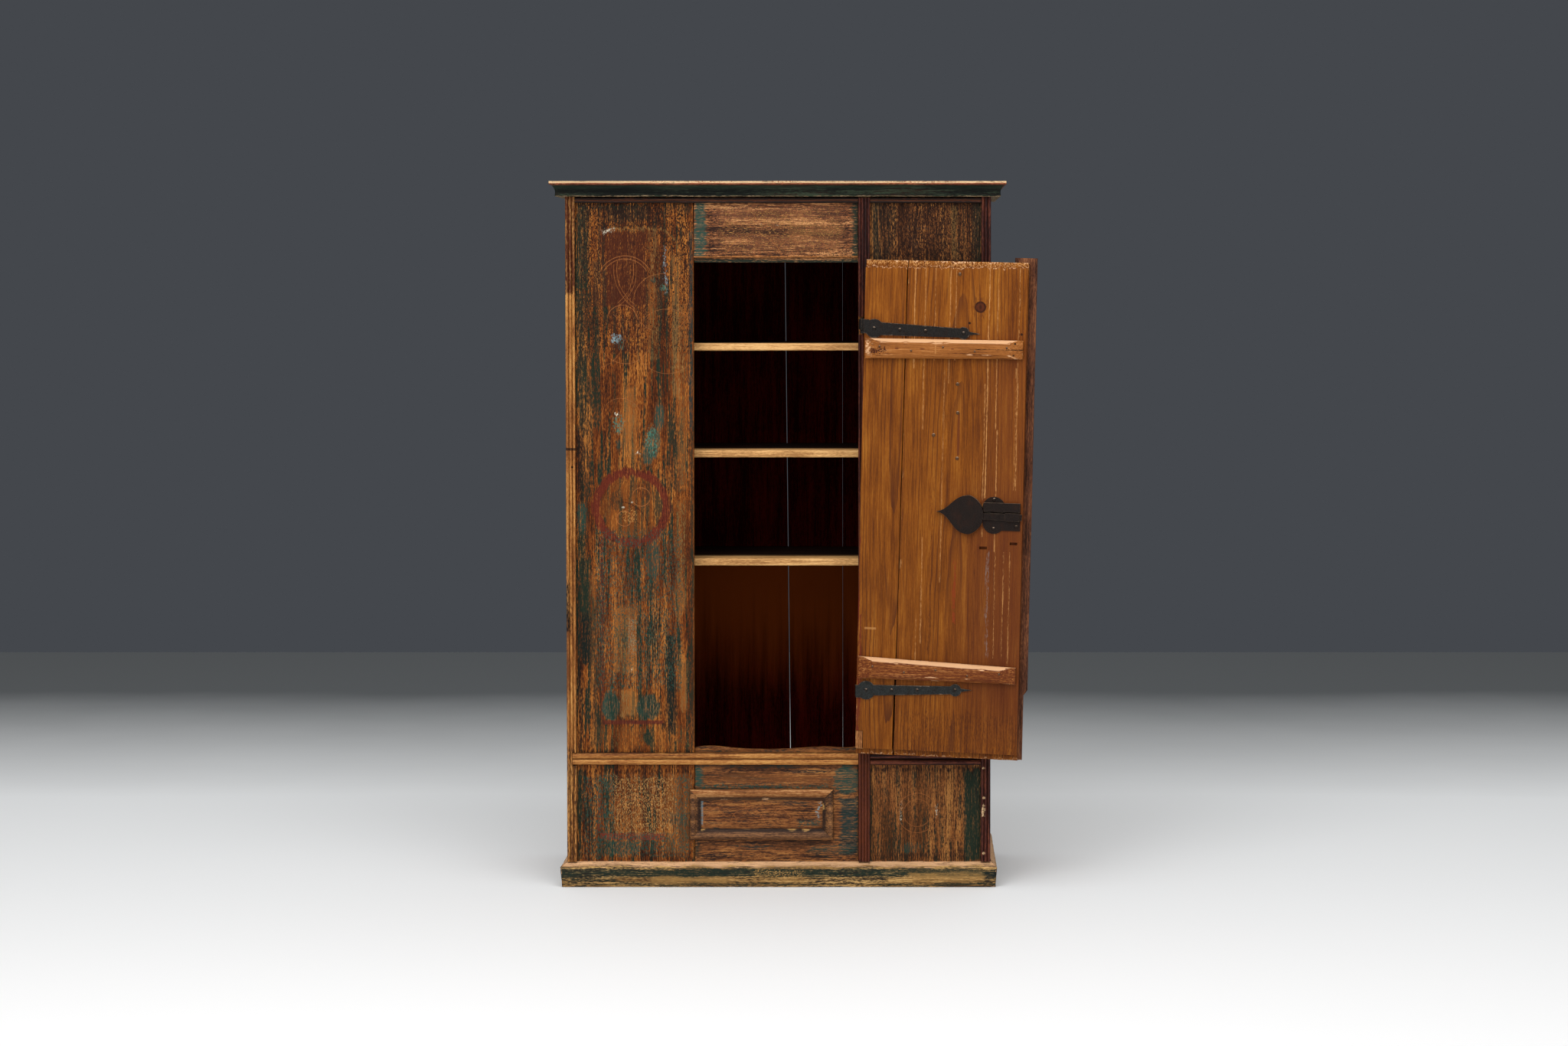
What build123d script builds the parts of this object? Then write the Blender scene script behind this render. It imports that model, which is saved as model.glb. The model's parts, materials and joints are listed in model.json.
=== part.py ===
from build123d import *
import math
import os

# A one-door store cupboard of old pine boards with wrought-iron strap hinges and a rim lock.
# Millimetres. X runs to the right, Y into the depth, Z up. The origin is on the floor, on the
# centre line, in the plane of the front boards' faces. Everything on the door is drawn with the
# door shut, in that same frame, and is then swung open about the leaning hinge axis.

# ---- Carcass boards -------------------------------------------------------------------------
body_width = 990.0          # over the two side boards
body_depth = 410.0          # front boards' faces to the back planks' outer faces
board_height = 1622.0       # side and front boards, from the floor to the top board
side_thick = 20.0
front_thick = 22.0
back_thick = 18.0
top_thick = 20.0
bottom_thick = 20.0
bottom_underside = 62.0     # floor to the underside of the bottom board

# ---- Door opening ---------------------------------------------------------------------------
opening_left = -197.0       # edge of the left front board
opening_right = 186.0       # edge of the right front board
frieze_height = 151.0       # of the frieze board's face, down from the top board
frieze_tongue = 12.0        # how far its rebated tongue hangs below that
sill_face_top = 315.0       # upper edge of the lower board's face
sill_tongue = 13.4          # how far its tongue stands above that
lap_depth = 11.0            # thickness of a door lip, and depth of the rebate that takes it

# Wear of the sill: share of the opening's width, and how deep the tongue is worn there
sill_wear = [(0.0, 4.1), (0.16, 1.8), (0.28, 6.3), (0.40, 7.7), (0.55, 7.0),
             (0.72, 3.2), (0.82, 2.5), (0.87, 4.1), (1.0, 0.0)]

# ---- Back planks ----------------------------------------------------------------------------
back_seam_top = [-1.0, 142.0]       # where the planks meet, at the top
back_seam_bottom = [15.0, 142.0]    # and at the floor
back_seam_gaps = [2.1, 0.7]         # the planks have shrunk apart by this much

# ---- Shelves --------------------------------------------------------------------------------
shelf_tops = {"lower": 765.0, "middle": 1020.0, "upper": 1271.0}
shelf_thick = 18.0
shelf_setback = 28.0        # front boards' back faces to the shelves' front edges
shelf_nose = 4.0            # radius of the worn front edge
cleat_size = 20.0           # square section of the cleats that carry shelves and bottom
cleat_inset = 12.0          # a cleat stops this far short of the front and back boards

# ---- Cornice and plinth ---------------------------------------------------------------------
cornice_height = 36.0
cornice_lap = 10.0          # how far the cornice hangs down over the front boards
cornice_foot_reach = 22.0   # how far the lower fillet stands out
cornice_foot_height = 5.5
cornice_cove_reach = 32.0   # the cove's top
cornice_top_reach = 35.0
cornice_top_height = 8.5
cornice_cove_sag = 3.0      # how far the cove is hollowed

plinth_height = 59.0
plinth_shoulder = 48.0      # height where the chamfer starts
plinth_front_reach = 20.0
plinth_side_reach = 16.0
plinth_foot_share = 0.75    # the plinth leans in, to this share of its reach at the floor
plinth_lip_share = 0.15     # share of the reach left at the top of the chamfer

# ---- Applied mouldings ----------------------------------------------------------------------
moulding_reach = 12.0       # how far the reeded mouldings stand out
reed_rise = 4.5             # height of wide reeds above the groove bottoms
reed_share = 0.42           # a narrow reed rises by this share of its width
stile_moulding_width = 23.0
centre_moulding_width = 28.0
top_moulding_width = 12.5
top_moulding_gap = 2.0      # between the top moulding and the cornice
mid_moulding_width = 30.0
mid_moulding_lap = 10.0     # how far the mid moulding is let into the left stile moulding

panel_left = -209.0         # outer edges of the mitred frame on the lower board
panel_right = 128.0
panel_bottom = 109.0
panel_top = 229.0
panel_moulding_width = 27.0
panel_moulding_reach = 12.0
panel_edge_share = 0.45     # share of the reach at the outer edge
panel_bead_at = 0.28        # share of the width where the bead is highest
panel_bead_end = 0.55       # share of the width where the bead gives way to the slope
panel_bead_end_share = 0.72     # share of the reach there
panel_inner_share = 0.3     # share of the reach at the inner edge

# ---- Door -----------------------------------------------------------------------------------
door_thick = 22.0
door_proud = 0.5            # the shut door stands this much in front of the front boards
hinge_gap = 1.5             # between the shut door and the right front board
free_gap = 2.5              # between the shut door and the left front board
top_gap = 4.0               # between the shut door's lip and the frieze board's face
foot_gap = 3.0              # between the shut door's lip and the lower board's face
lip_top_hinge = 18.0        # height of the top lip at the hinge side
lip_top_free = 12.0         # and at the free side
lip_foot = 14.0
seam_top = 99.5             # hinge edge to the joint between the two door boards, at the top
seam_foot = 90.5            # and at the foot
# Opening of that joint: share of the door's height, and the gap in millimetres
seam_opening = [(1.0, 1.2), (0.75, 0.0), (0.28, 0.0), (0.2, 0.8), (0.125, 3.0), (0.0, 3.2)]
patch_width = 18.0          # new wood let into the door's lower hinge corner
patch_height = 41.0

strip_width = 53.0          # cover strip along the free edge, on the door's face
strip_thick = 12.0
strip_overhang = 18.0
strip_rise = 11.0           # how far the strip stands above the door
chip_width = 9.0            # the strip is split off by this much near the foot
chip_height = 150.0
chip_run = 12.0             # height over which the split runs out

# ---- Battens: underside above the hinge's middle, and width, at the hinge end and free end ----
batten_thick = 20.0
batten_inset_hinge = 3.5    # door edge to the batten's end
batten_inset_free = 6.5
batten_edge_bevel = 9.0
batten_edge_depth = 8.0
batten_end_bevel = 37.0
batten_end_depth = 12.0
batten_nails_each = 5
batten_nail_stagger = 0.1   # nails stand off the middle by this share of the batten's width
upper_batten = {"foot_hinge": -78.0, "foot_free": -71.5, "high_hinge": 47.5, "high_free": 43.8}
lower_batten = {"foot_hinge": 33.0, "foot_free": 34.0, "high_hinge": 52.2, "high_free": 38.4}

# ---- Hinges ---------------------------------------------------------------------------------
door_open_angle = 171.0     # the door stands open this far
hinge_lean = 0.65           # the hinge axis leans to the right by this many degrees
hinge_axis_offset = 14.0    # axis in front of the front boards
hinge_axis_shift = -0.3     # axis to the right of the opening's edge, at the lower hinge
upper_hinge_drop = 151.0    # door's head to the upper hinge's middle
lower_hinge_rise = 145.0    # door's foot to the lower hinge's middle
pin_radius = 4.0
pin_clearance = 0.08
eye_radius = 7.5
eye_height = 24.0
iron_thick = 3.0            # straps
leg_clearance = 1.0         # between a strap's leg and the right front board
pintle_arm_height = 9.0
pintle_arm_gap = 0.3        # between the pintle's arm and the eye that rides on it
pintle_shank_inset = 12.0   # opening's edge to the shank's middle
pintle_shank_size = 8.0
pintle_clench = 6.0         # how far the shank comes out behind the board
pin_above_eye = 3.0
notch_width = 20.0          # cut from the centre moulding for knuckle and pintle
notch_margin = 3.0

strap_lobe_at = 24.0        # door edge to the middle of the root lobe
strap_lobe_radius = 21.5
strap_spade_at = 232.5
strap_spade_radius = 14.0
strap_tip_at = 271.0
strap_tip_width = 12.0
strap_nails_at = [24.0, 84.0, 144.0, 232.5]
# Height of the root above the eye's middle, tilt towards the tip, band width at root and spade
upper_strap = {"rise": -7.5, "tilt": -1.7, "root": 30.0, "end": 21.0}
lower_strap = {"rise": 4.5, "tilt": 2.4, "root": 25.0, "end": 18.0}

# ---- Lock: positions along X are measured from the door's free edge -------------------------
lock_rise = 563.4           # door's foot to the middle of the bolt
lock_plate_thick = 2.0
lock_plate_inset = 5.0
lock_tab_low = -31.8        # lower and upper edge of the plate's tab, from the bolt's middle
lock_tab_high = 30.6
lobe_at = 66.5
upper_lobe_rise = 19.0
upper_lobe_radius = 27.0
lower_lobe_rise = -14.0
lower_lobe_radius = 25.5
bolt_height = 14.8
bolt_thick = 5.0
bolt_lift = 0.3             # running gap under and over the bolt
bolt_throw = 17.5           # travel of the bolt
bolt_setback = 1.0          # door's free edge to the end of the bolt when it is drawn back
bolt_length = 114.0
bolt_notch = 7.5            # notch that the key's bit catches, near the tail
guide_near = 6.5            # the guide that holds the bolt down
guide_far = 40.5
guide_wall = 1.7
guide_side_gap = 0.4
rail_low = 12.0             # underside and top of the upper rail, from the bolt's middle
rail_high = 32.6
rail_thick = 8.0
spring_thick = 1.2
cover_at = 123.0            # middle of the spade-shaped cover
cover_rise = 3.2
cover_half_height = 45.0
cover_back = 33.0           # from its middle towards the free edge
cover_front = 77.0          # from its middle to its tip
cover_tip_rise = 5.5
cover_waist = 0.56          # share of the front length where the flanks turn hollow
cover_waist_share = 0.48    # share of the half height there
cover_tip_slope = 0.15      # the flanks meet the tip at this slope
cover_height = 9.6
cover_wall = 1.8
keyhole_radius = 4.0
keyhole_slot = 4.5
keyhole_length = 15.0
keyhole_at = 126.0          # from the free edge
escutcheon_radius = 19.0
escutcheon_thick = 1.5
escutcheon_drop = 5.0       # its middle below the keyhole's round part
rivets_at = [(66.5, 39.5), (66.5, -28.0), (14.0, -22.0)]    # free edge, and bolt's middle
keeper_inset = 3.0          # opening's edge to the staple the bolt runs into
keeper_width = 12.0
keeper_thick = 3.0
keeper_foot = 16.0

old_slot_width = 17.0       # two blind slots left by an earlier lock
old_slot_height = 6.0
old_slot_depth = 7.0
old_slots = [(81.5, -76.0), (11.0, -64.0)]    # from the free edge, and from the bolt's middle

# ---- Nails ----------------------------------------------------------------------------------
nail_head_radius = 4.5
batten_nail_head_radius = 2.8
nail_head_height = 2.0
nail_crown_share = 0.55     # the head narrows to this share of its radius
nail_shank_radius = 1.6
nail_clearance = 0.1        # between a shank and its hole
back_nail_length = 34.0
batten_nail_length = 34.0
strap_nail_length = 18.0
door_nail_length = 16.0
rivet_length = 8.0
back_nail_inset = 28.0      # from a plank's edges
# Lone nails on the door's inner face: from the free edge, and down from the door's head
lone_nails_at = [(158.5, 30.0), (158.0, 283.0), (156.0, 349.0), (211.0, 402.0), (155.0, 454.0)]

# ---- Worked out from the above --------------------------------------------------------------
half_body = body_width / 2
frieze_bottom = board_height - frieze_height
inner_half = half_body - side_thick
back_face = body_depth - back_thick
carcass_top = board_height + top_thick
cornice_low = board_height - cornice_lap
top_moulding_high = cornice_low - top_moulding_gap

door_front = -door_proud
door_inner = door_thick - door_proud
lip_back = lap_depth - door_proud
hinge_edge = opening_right - hinge_gap
free_edge = opening_left + free_gap
door_foot = sill_face_top + foot_gap
door_head = frieze_bottom - top_gap
door_height = door_head - door_foot
upper_hinge_height = door_head - upper_hinge_drop
lower_hinge_height = door_foot + lower_hinge_rise
lock_height = door_foot + lock_rise

axis_lean = math.radians(hinge_lean)
axis_direction = (math.sin(axis_lean), 0.0, math.cos(axis_lean))
axis_foot = (opening_right + hinge_axis_shift, -hinge_axis_offset, lower_hinge_height)
strap_leg_right = opening_right - leg_clearance
strap_leg_left = strap_leg_right - iron_thick


# ---- Helpers --------------------------------------------------------------------------------
def block(x0, x1, y0, y1, z0, z1):
    """A rectangular board between two corners."""
    return Pos((x0 + x1) / 2, (y0 + y1) / 2, (z0 + z1) / 2) * Box(x1 - x0, y1 - y0, z1 - z0)


def slab(points, y0, y1):
    """A board with the given outline in X and Z, from depth y0 to y1."""
    face = make_face(Polyline(*points, close=True))
    upright = Plane(origin=(0, y1, 0), x_dir=(1, 0, 0), z_dir=(0, -1, 0))
    return extrude(upright * face, amount=y1 - y0)


def slab_of(face, x, z, y0, y1):
    """A plate with the given flat outline, its own origin placed at X and Z."""
    upright = Plane(origin=(x, y1, z), x_dir=(1, 0, 0), z_dir=(0, -1, 0))
    return extrude(upright * face, amount=y1 - y0)


def keep_inside(body, point, outward):
    """Cut away what lies beyond the plane through the point, on its outward side."""
    return split(body, bisect_by=Plane(origin=point, z_dir=outward), keep=Keep.BOTTOM)


def outline_face(edges):
    return make_face(Curve() + edges)


def front_bar(profile, x0, x1, z):
    """A moulding along X. Its profile has the reach along x and the height along y."""
    end = Plane(origin=(x1, 0, z), x_dir=(0, -1, 0), z_dir=(-1, 0, 0))
    return extrude(end * profile, amount=x1 - x0)


def upright_bar(profile, x, z0, z1):
    """A moulding along Z. Its profile has the reach along x and the width along y."""
    foot = Plane(origin=(x, 0, z0), x_dir=(0, -1, 0), z_dir=(0, 0, 1))
    return extrude(foot * profile, amount=z1 - z0)


def side_bar(profile, y0, y1, z):
    """A moulding along Y on the outside of the right side board."""
    end = Plane(origin=(half_body, y1, z), x_dir=(1, 0, 0), z_dir=(0, -1, 0))
    return extrude(end * profile, amount=y1 - y0)


def mirrored(body):
    return mirror(body, about=Plane.YZ)


def swung_open(body):
    return body.rotate(Axis(axis_foot, axis_direction), door_open_angle)


def axis_x(z):
    """Where the leaning hinge axis stands at a height."""
    return axis_foot[0] + (z - axis_foot[2]) * math.tan(axis_lean)


def on_axis(z):
    return Location((axis_x(z), axis_foot[1], z), (0, hinge_lean, 0))


def nail(x, y, z, length, radius):
    """A hand-made nail with a low head, driven forwards from the depth y."""
    head = Cone(radius, radius * nail_crown_share, nail_head_height,
                align=(Align.CENTER, Align.CENTER, Align.MIN))
    shank = Cylinder(nail_shank_radius, length, align=(Align.CENTER, Align.CENTER, Align.MAX))
    return Pos(x, y, z) * Rot(-90, 0, 0) * (head + shank)


def nail_holes(spots, y, length):
    """Holes for nails driven forwards at these (x, z) places from the depth y."""
    radius = nail_shank_radius + nail_clearance
    bore = Cylinder(radius, length + nail_clearance, align=(Align.CENTER, Align.CENTER, Align.MAX))
    return [Pos(x, y, z) * Rot(-90, 0, 0) * bore for x, z in spots]


def head_recesses(spots, y):
    """Shallow pockets that take sunk nail heads, from the depth y back to the surface."""
    pocket = Cylinder(nail_head_radius + nail_clearance, nail_head_height,
                      align=(Align.CENTER, Align.CENTER, Align.MIN))
    return [Pos(x, y, z) * Rot(-90, 0, 0) * pocket for x, z in spots]


def nails_at(spots, y, length, radius=nail_head_radius):
    return Compound([nail(x, y, z, length, radius).solid() for x, z in spots])


# ---- Profiles: reach along x, height or width along y ----------------------------------------
def reeded_profile(width, reeds):
    """Side by side half-rounds on a flat backing."""
    pitch = width / reeds
    base = moulding_reach - min(reed_rise, pitch * reed_share)
    edges = [Line((base, width), (0, width)), Line((0, width), (0, 0)), Line((0, 0), (base, 0))]
    for i in range(reeds):
        low, high = (base, i * pitch), (base, (i + 1) * pitch)
        edges.append(ThreePointArc(low, (moulding_reach, (i + 0.5) * pitch), high))
    return outline_face(edges)


def cornice_profile():
    """Foot fillet, hollow cove and square top fillet."""
    cove_low = (cornice_foot_reach, cornice_foot_height)
    cove_high = (cornice_cove_reach, cornice_height - cornice_top_height)
    middle = ((cove_low[0] + cove_high[0]) / 2 - cornice_cove_sag,
              (cove_low[1] + cove_high[1]) / 2 + cornice_cove_sag)
    flat = Polyline(cove_high, (cornice_top_reach, cove_high[1]),
                    (cornice_top_reach, cornice_height), (0, cornice_height), (0, 0),
                    (cornice_foot_reach, 0), cove_low)
    return outline_face([flat, ThreePointArc(cove_low, middle, cove_high)])


def plinth_profile(reach):
    foot = reach * plinth_foot_share
    lip = reach * plinth_lip_share
    return make_face(Polyline((0, 0), (foot, 0), (reach, plinth_shoulder),
                              (lip, plinth_height), (0, plinth_height), close=True))


def panel_profile():
    """A rounded outer bead that falls away in a slope to the inner edge."""
    width, reach = panel_moulding_width, panel_moulding_reach
    outer_edge = (reach * panel_edge_share, 0)
    bead_end = (reach * panel_bead_end_share, width * panel_bead_end)
    bead = ThreePointArc(outer_edge, (reach, width * panel_bead_at), bead_end)
    inner_edge = (reach * panel_inner_share, width)
    flat = Polyline(bead_end, inner_edge, (0, width), (0, 0), outer_edge)
    return outline_face([bead, flat])


# ---- Carcass --------------------------------------------------------------------------------
def back_nail_spots():
    """Rows of nails through the back planks into the bottom, the shelves and the top."""
    rows = [bottom_underside + bottom_thick / 2, board_height + top_thick / 2]
    rows += [top - shelf_thick / 2 for top in shelf_tops.values()]
    spots = []
    for z in rows:
        share = z / carcass_top
        seams = [low + (high - low) * share for low, high in zip(back_seam_bottom, back_seam_top)]
        edges = [-inner_half] + seams + [inner_half]
        for left, right in zip(edges, edges[1:]):
            spots += [(left + back_nail_inset, z), (right - back_nail_inset, z)]
    return spots


def side_board():
    return block(inner_half, half_body, front_thick, back_face, 0, board_height)


def bottom_board(holes):
    z = bottom_underside
    return block(-inner_half, inner_half, front_thick, back_face, z, z + bottom_thick) - holes


def top_board(holes):
    return block(-half_body, half_body, 0, back_face, board_height, carcass_top) - holes


def back_plank(number, holes):
    """Planks run from the floor to the top board's upper face. Their seams are not upright."""
    low = [-half_body] + back_seam_bottom + [half_body]
    high = [-half_body] + back_seam_top + [half_body]
    halves = [0] + [gap / 2 for gap in back_seam_gaps] + [0]
    left, right = halves[number], halves[number + 1]
    outline = [(low[number] + left, 0), (low[number + 1] - right, 0),
               (high[number + 1] - right, carcass_top), (high[number] + left, carcass_top)]
    return slab(outline, back_face, body_depth) - holes


def shelf(top, holes):
    front = front_thick + shelf_setback
    board = block(-inner_half, inner_half, front, back_face, top - shelf_thick, top)
    nose = board.edges().filter_by(Axis.X).group_by(Axis.Y)[0]
    return fillet(nose, shelf_nose) - holes


def cleat(x_side, top):
    """A square batten on a side board's inner face; x_side is 1 on the right and -1 on the left."""
    x0, x1 = sorted([x_side * inner_half, x_side * (inner_half - cleat_size)])
    y0 = front_thick + shelf_setback + cleat_inset
    return block(x0, x1, y0, back_face - cleat_inset, top - cleat_size, top)


def cleats(tops):
    return Compound([cleat(side, top).solid() for top in tops for side in (-1, 1)])


def left_front_board():
    return block(-half_body, opening_left, 0, front_thick, 0, board_height)


def right_front_board():
    """Square holes take the shanks of the two pintles."""
    board = block(opening_right, half_body, 0, front_thick, 0, board_height)
    for height in (upper_hinge_height, lower_hinge_height):
        board -= pintle_shank(height, 0, front_thick)
    return board


def frieze_board():
    """The lower edge is rebated, so that a tongue stands behind the door's top lip."""
    low = frieze_bottom - frieze_tongue
    board = block(opening_left, opening_right, 0, front_thick, low, board_height)
    return board - block(opening_left, opening_right, 0, lap_depth, low, frieze_bottom)


def lower_front_board():
    """The upper edge is rebated too, and its tongue is worn down by things dragged over it."""
    face = block(opening_left, opening_right, 0, lap_depth, 0, sill_face_top)
    width = opening_right - opening_left
    crest = sill_face_top + sill_tongue
    worn = [(opening_left + share * width, crest - depth) for share, depth in sill_wear]
    edge = Spline(*worn)
    sides = Polyline(worn[-1], (opening_right, 0), (opening_left, 0), worn[0])
    return face + slab_of(outline_face([edge, sides]), 0, 0, lap_depth, front_thick)


# ---- Mouldings ------------------------------------------------------------------------------
def cornice_front():
    reach = cornice_top_reach
    bar = front_bar(cornice_profile(), -half_body - reach, half_body + reach, cornice_low)
    for side in (-1, 1):
        bar = keep_inside(bar, (side * half_body, 0, cornice_low), (side, 1, 0))
    return bar


def cornice_side():
    bar = side_bar(cornice_profile(), -cornice_top_reach, body_depth, cornice_low)
    return keep_inside(bar, (half_body, 0, cornice_low), (-1, -1, 0))


def plinth_front():
    profile = plinth_profile(plinth_front_reach)
    reach = plinth_side_reach
    bar = front_bar(profile, -half_body - reach, half_body + reach, 0)
    for side in (-1, 1):
        outward = (side * plinth_front_reach, plinth_side_reach, 0)
        bar = keep_inside(bar, (side * half_body, 0, 0), outward)
    return bar


def plinth_side():
    bar = side_bar(plinth_profile(plinth_side_reach), -plinth_front_reach, body_depth, 0)
    return keep_inside(bar, (half_body, 0, 0), (-plinth_front_reach, -plinth_side_reach, 0))


def stile_moulding(x):
    return upright_bar(reeded_profile(stile_moulding_width, 3), x, plinth_height, cornice_low)


def left_stile_moulding():
    """The mid moulding's end is let into it."""
    inner = -half_body + stile_moulding_width
    notch = block(inner - mid_moulding_lap, inner, -moulding_reach, 0,
                  sill_face_top - mid_moulding_width, sill_face_top)
    return stile_moulding(-half_body) - notch


def hinge_notch(height):
    low = height - eye_height / 2 - pintle_arm_gap - pintle_arm_height - notch_margin
    high = height + eye_height / 2 + pin_above_eye + notch_margin
    return block(opening_right, opening_right + notch_width, -moulding_reach, 0, low, high)


def centre_moulding():
    """It covers the right front board's edge and is cut away beside the two hinge knuckles."""
    profile = reeded_profile(centre_moulding_width, 4)
    bar = upright_bar(profile, opening_right, plinth_height, top_moulding_high)
    return bar - hinge_notch(upper_hinge_height) - hinge_notch(lower_hinge_height)


def top_moulding(x0, x1):
    return front_bar(reeded_profile(top_moulding_width, 2), x0, x1,
                     top_moulding_high - top_moulding_width)


def mid_moulding(x0, x1):
    return front_bar(reeded_profile(mid_moulding_width, 2), x0, x1,
                     sill_face_top - mid_moulding_width)


def panel_frame_piece(side):
    """One of four mitred pieces. The profile's rounded bead lies on the frame's outside."""
    width = panel_right - panel_left
    height = panel_top - panel_bottom
    middle = ((panel_left + panel_right) / 2, (panel_bottom + panel_top) / 2)
    turns = {"bottom": (0, width, height), "right": (-90, height, width),
             "top": (180, width, height), "left": (90, height, width)}
    turn, length, across = turns[side]
    bar = front_bar(panel_profile(), -length / 2, length / 2, -across / 2)
    for end in (-1, 1):
        bar = keep_inside(bar, (end * length / 2, 0, -across / 2), (end, 0, 1))
    return Pos(middle[0], 0, middle[1]) * Rot(0, turn, 0) * bar


# ---- Door boards ----------------------------------------------------------------------------
def lip_line(x):
    """Height of the inner layer's upper edge, which isn't level."""
    share = (x - free_edge) / (hinge_edge - free_edge)
    return door_head - lip_top_free - (lip_top_hinge - lip_top_free) * share


def seam_x(z):
    """Where the main board ends, on the joint between the two door boards."""
    share = (z - door_foot) / door_height
    return hinge_edge - seam_foot - (seam_top - seam_foot) * share


def strap_pocket(height):
    """The strap's leg is let into the door's hinge edge."""
    half = eye_height / 2 + nail_clearance
    return block(strap_leg_left, hinge_edge, door_front, door_inner, height - half, height + half)


def keyhole(y0, y1):
    """A round hole with a slot below it."""
    x = free_edge + keyhole_at
    bore = Pos(x, (y0 + y1) / 2, lock_height) * Rot(90, 0, 0) * Cylinder(keyhole_radius, y1 - y0)
    half = keyhole_slot / 2
    return bore + block(x - half, x + half, y0, y1, lock_height - keyhole_length, lock_height)


def door_board_main(holes):
    foot, head = door_foot, door_head
    face = slab([(free_edge, foot), (seam_x(foot), foot), (seam_x(head), head),
                 (free_edge, head)], door_front, lip_back)
    low = foot + lip_foot
    high = lip_line(seam_x(head))
    inner = slab([(free_edge, low), (seam_x(low), low), (seam_x(high), high),
                  (free_edge, lip_line(free_edge))], lip_back, door_inner)
    board = face + inner - holes - keyhole(door_front, door_inner)
    for along, rise in old_slots:
        x, z = free_edge + along, lock_height + rise
        board -= block(x, x + old_slot_width, door_inner - old_slot_depth, door_inner,
                       z, z + old_slot_height)
    return board


def door_board_hinge_side(holes):
    """The narrow board. Its joint to the main board has opened at both ends."""
    gaps = [(door_foot + share * door_height, gap) for share, gap in seam_opening]
    seam = [(seam_x(z) + gap, z) for z, gap in gaps]
    face = slab([(hinge_edge, door_foot), (hinge_edge, door_head)] + seam, door_front, lip_back)
    inner = slab([(hinge_edge, door_foot), (hinge_edge, door_head)] + seam, lip_back, door_inner)
    above = slab([(opening_left, lip_line(opening_left)), (opening_right, lip_line(opening_right)),
                  (opening_right, door_head), (opening_left, door_head)], lip_back, door_inner)
    low = door_foot + lip_foot
    below = block(opening_left, opening_right, lip_back, door_inner, door_foot, low)
    corner = block(hinge_edge - patch_width, hinge_edge, lip_back, door_inner,
                   low, low + patch_height)
    board = face + (inner - above - below - corner)
    for height in (upper_hinge_height, lower_hinge_height):
        board -= strap_pocket(height)
    return board - holes


def door_corner_patch():
    low = door_foot + lip_foot
    return block(hinge_edge - patch_width, hinge_edge, lip_back, door_inner,
                 low, low + patch_height)


def door_edge_strip():
    """Covers the gap at the free edge. Its lower end has split away along the grain."""
    outer = free_edge - strip_overhang
    inner = outer + strip_width
    chip_top = door_foot + chip_height
    outline = [(inner, door_foot), (inner, door_head + strip_rise),
               (outer, door_head + strip_rise), (outer, chip_top + chip_run),
               (outer + chip_width, chip_top), (outer + chip_width, door_foot)]
    return slab(outline, door_front - strip_thick, door_front)


# ---- Battens --------------------------------------------------------------------------------
def batten_end(at_hinge):
    return hinge_edge - batten_inset_hinge if at_hinge else free_edge + batten_inset_free


def batten_line(height, sizes, x, share):
    """A height on the batten beside a hinge, at a share of its width above its underside."""
    left, right = batten_end(False), batten_end(True)
    along = (x - left) / (right - left)
    foot = sizes["foot_free"] + (sizes["foot_hinge"] - sizes["foot_free"]) * along
    high = sizes["high_free"] + (sizes["high_hinge"] - sizes["high_free"]) * along
    return height + foot + high * share


def batten_nail_spots(height, sizes):
    """Staggered nails between the bevelled ends."""
    left = batten_end(False) + batten_end_bevel
    right = batten_end(True) - batten_end_bevel
    count = batten_nails_each
    places = [left + (right - left) * i / (count - 1) for i in range(count)]
    shares = [0.5 + batten_nail_stagger * (-1) ** i for i in range(count)]
    return [(x, batten_line(height, sizes, x, share)) for x, share in zip(places, shares)]


def batten(height, sizes, holes):
    left, right = batten_end(False), batten_end(True)
    low_l, low_r = batten_line(height, sizes, left, 0), batten_line(height, sizes, right, 0)
    top_l, top_r = batten_line(height, sizes, left, 1), batten_line(height, sizes, right, 1)
    face = door_inner + batten_thick
    body = slab([(left, low_l), (right, low_r), (right, top_r), (left, top_l)], door_inner, face)
    edge_y = face - batten_edge_depth
    top_rise = (top_r - top_l) / (right - left)
    foot_rise = (low_r - low_l) / (right - left)
    depth, bevel = batten_edge_depth, batten_edge_bevel
    body = keep_inside(body, (left, edge_y, top_l), (-top_rise * depth, bevel, depth))
    body = keep_inside(body, (left, edge_y, low_l), (foot_rise * depth, bevel, -depth))
    for x, side in ((left, -1), (right, 1)):
        point = (x, face - batten_end_depth, 0)
        body = keep_inside(body, point, (side * batten_end_depth, batten_end_bevel, 0))
    return body - holes


# ---- Hinges ---------------------------------------------------------------------------------
def pintle_shank(height, y0, y1):
    x = opening_right + pintle_shank_inset
    half = pintle_shank_size / 2
    top = height - eye_height / 2 - pintle_arm_gap
    return block(x - half, x + half, y0, y1, top - pintle_shank_size, top)


def pintle(height):
    """An upright pin on an arm, with a shank driven back through the right front board."""
    top = height - eye_height / 2 - pintle_arm_gap
    low = top - pintle_arm_height
    pin_length = eye_height + pin_above_eye + pintle_arm_gap + pintle_arm_height / 2
    pin = on_axis(height) * Pos(0, 0, eye_height / 2 + pin_above_eye) * Cylinder(
        pin_radius, pin_length, align=(Align.CENTER, Align.CENTER, Align.MAX))
    x, y = axis_x(top), axis_foot[1]
    half = pintle_arm_height / 2
    right = opening_right + pintle_shank_inset + pintle_shank_size / 2
    arm = block(x, right, y - half, y + half, low, top)
    boss = Pos(x, y, low) * Cylinder(half, pintle_arm_height,
                                     align=(Align.CENTER, Align.CENTER, Align.MIN))
    return pin + arm + boss + pintle_shank(height, y, front_thick + pintle_clench)


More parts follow.
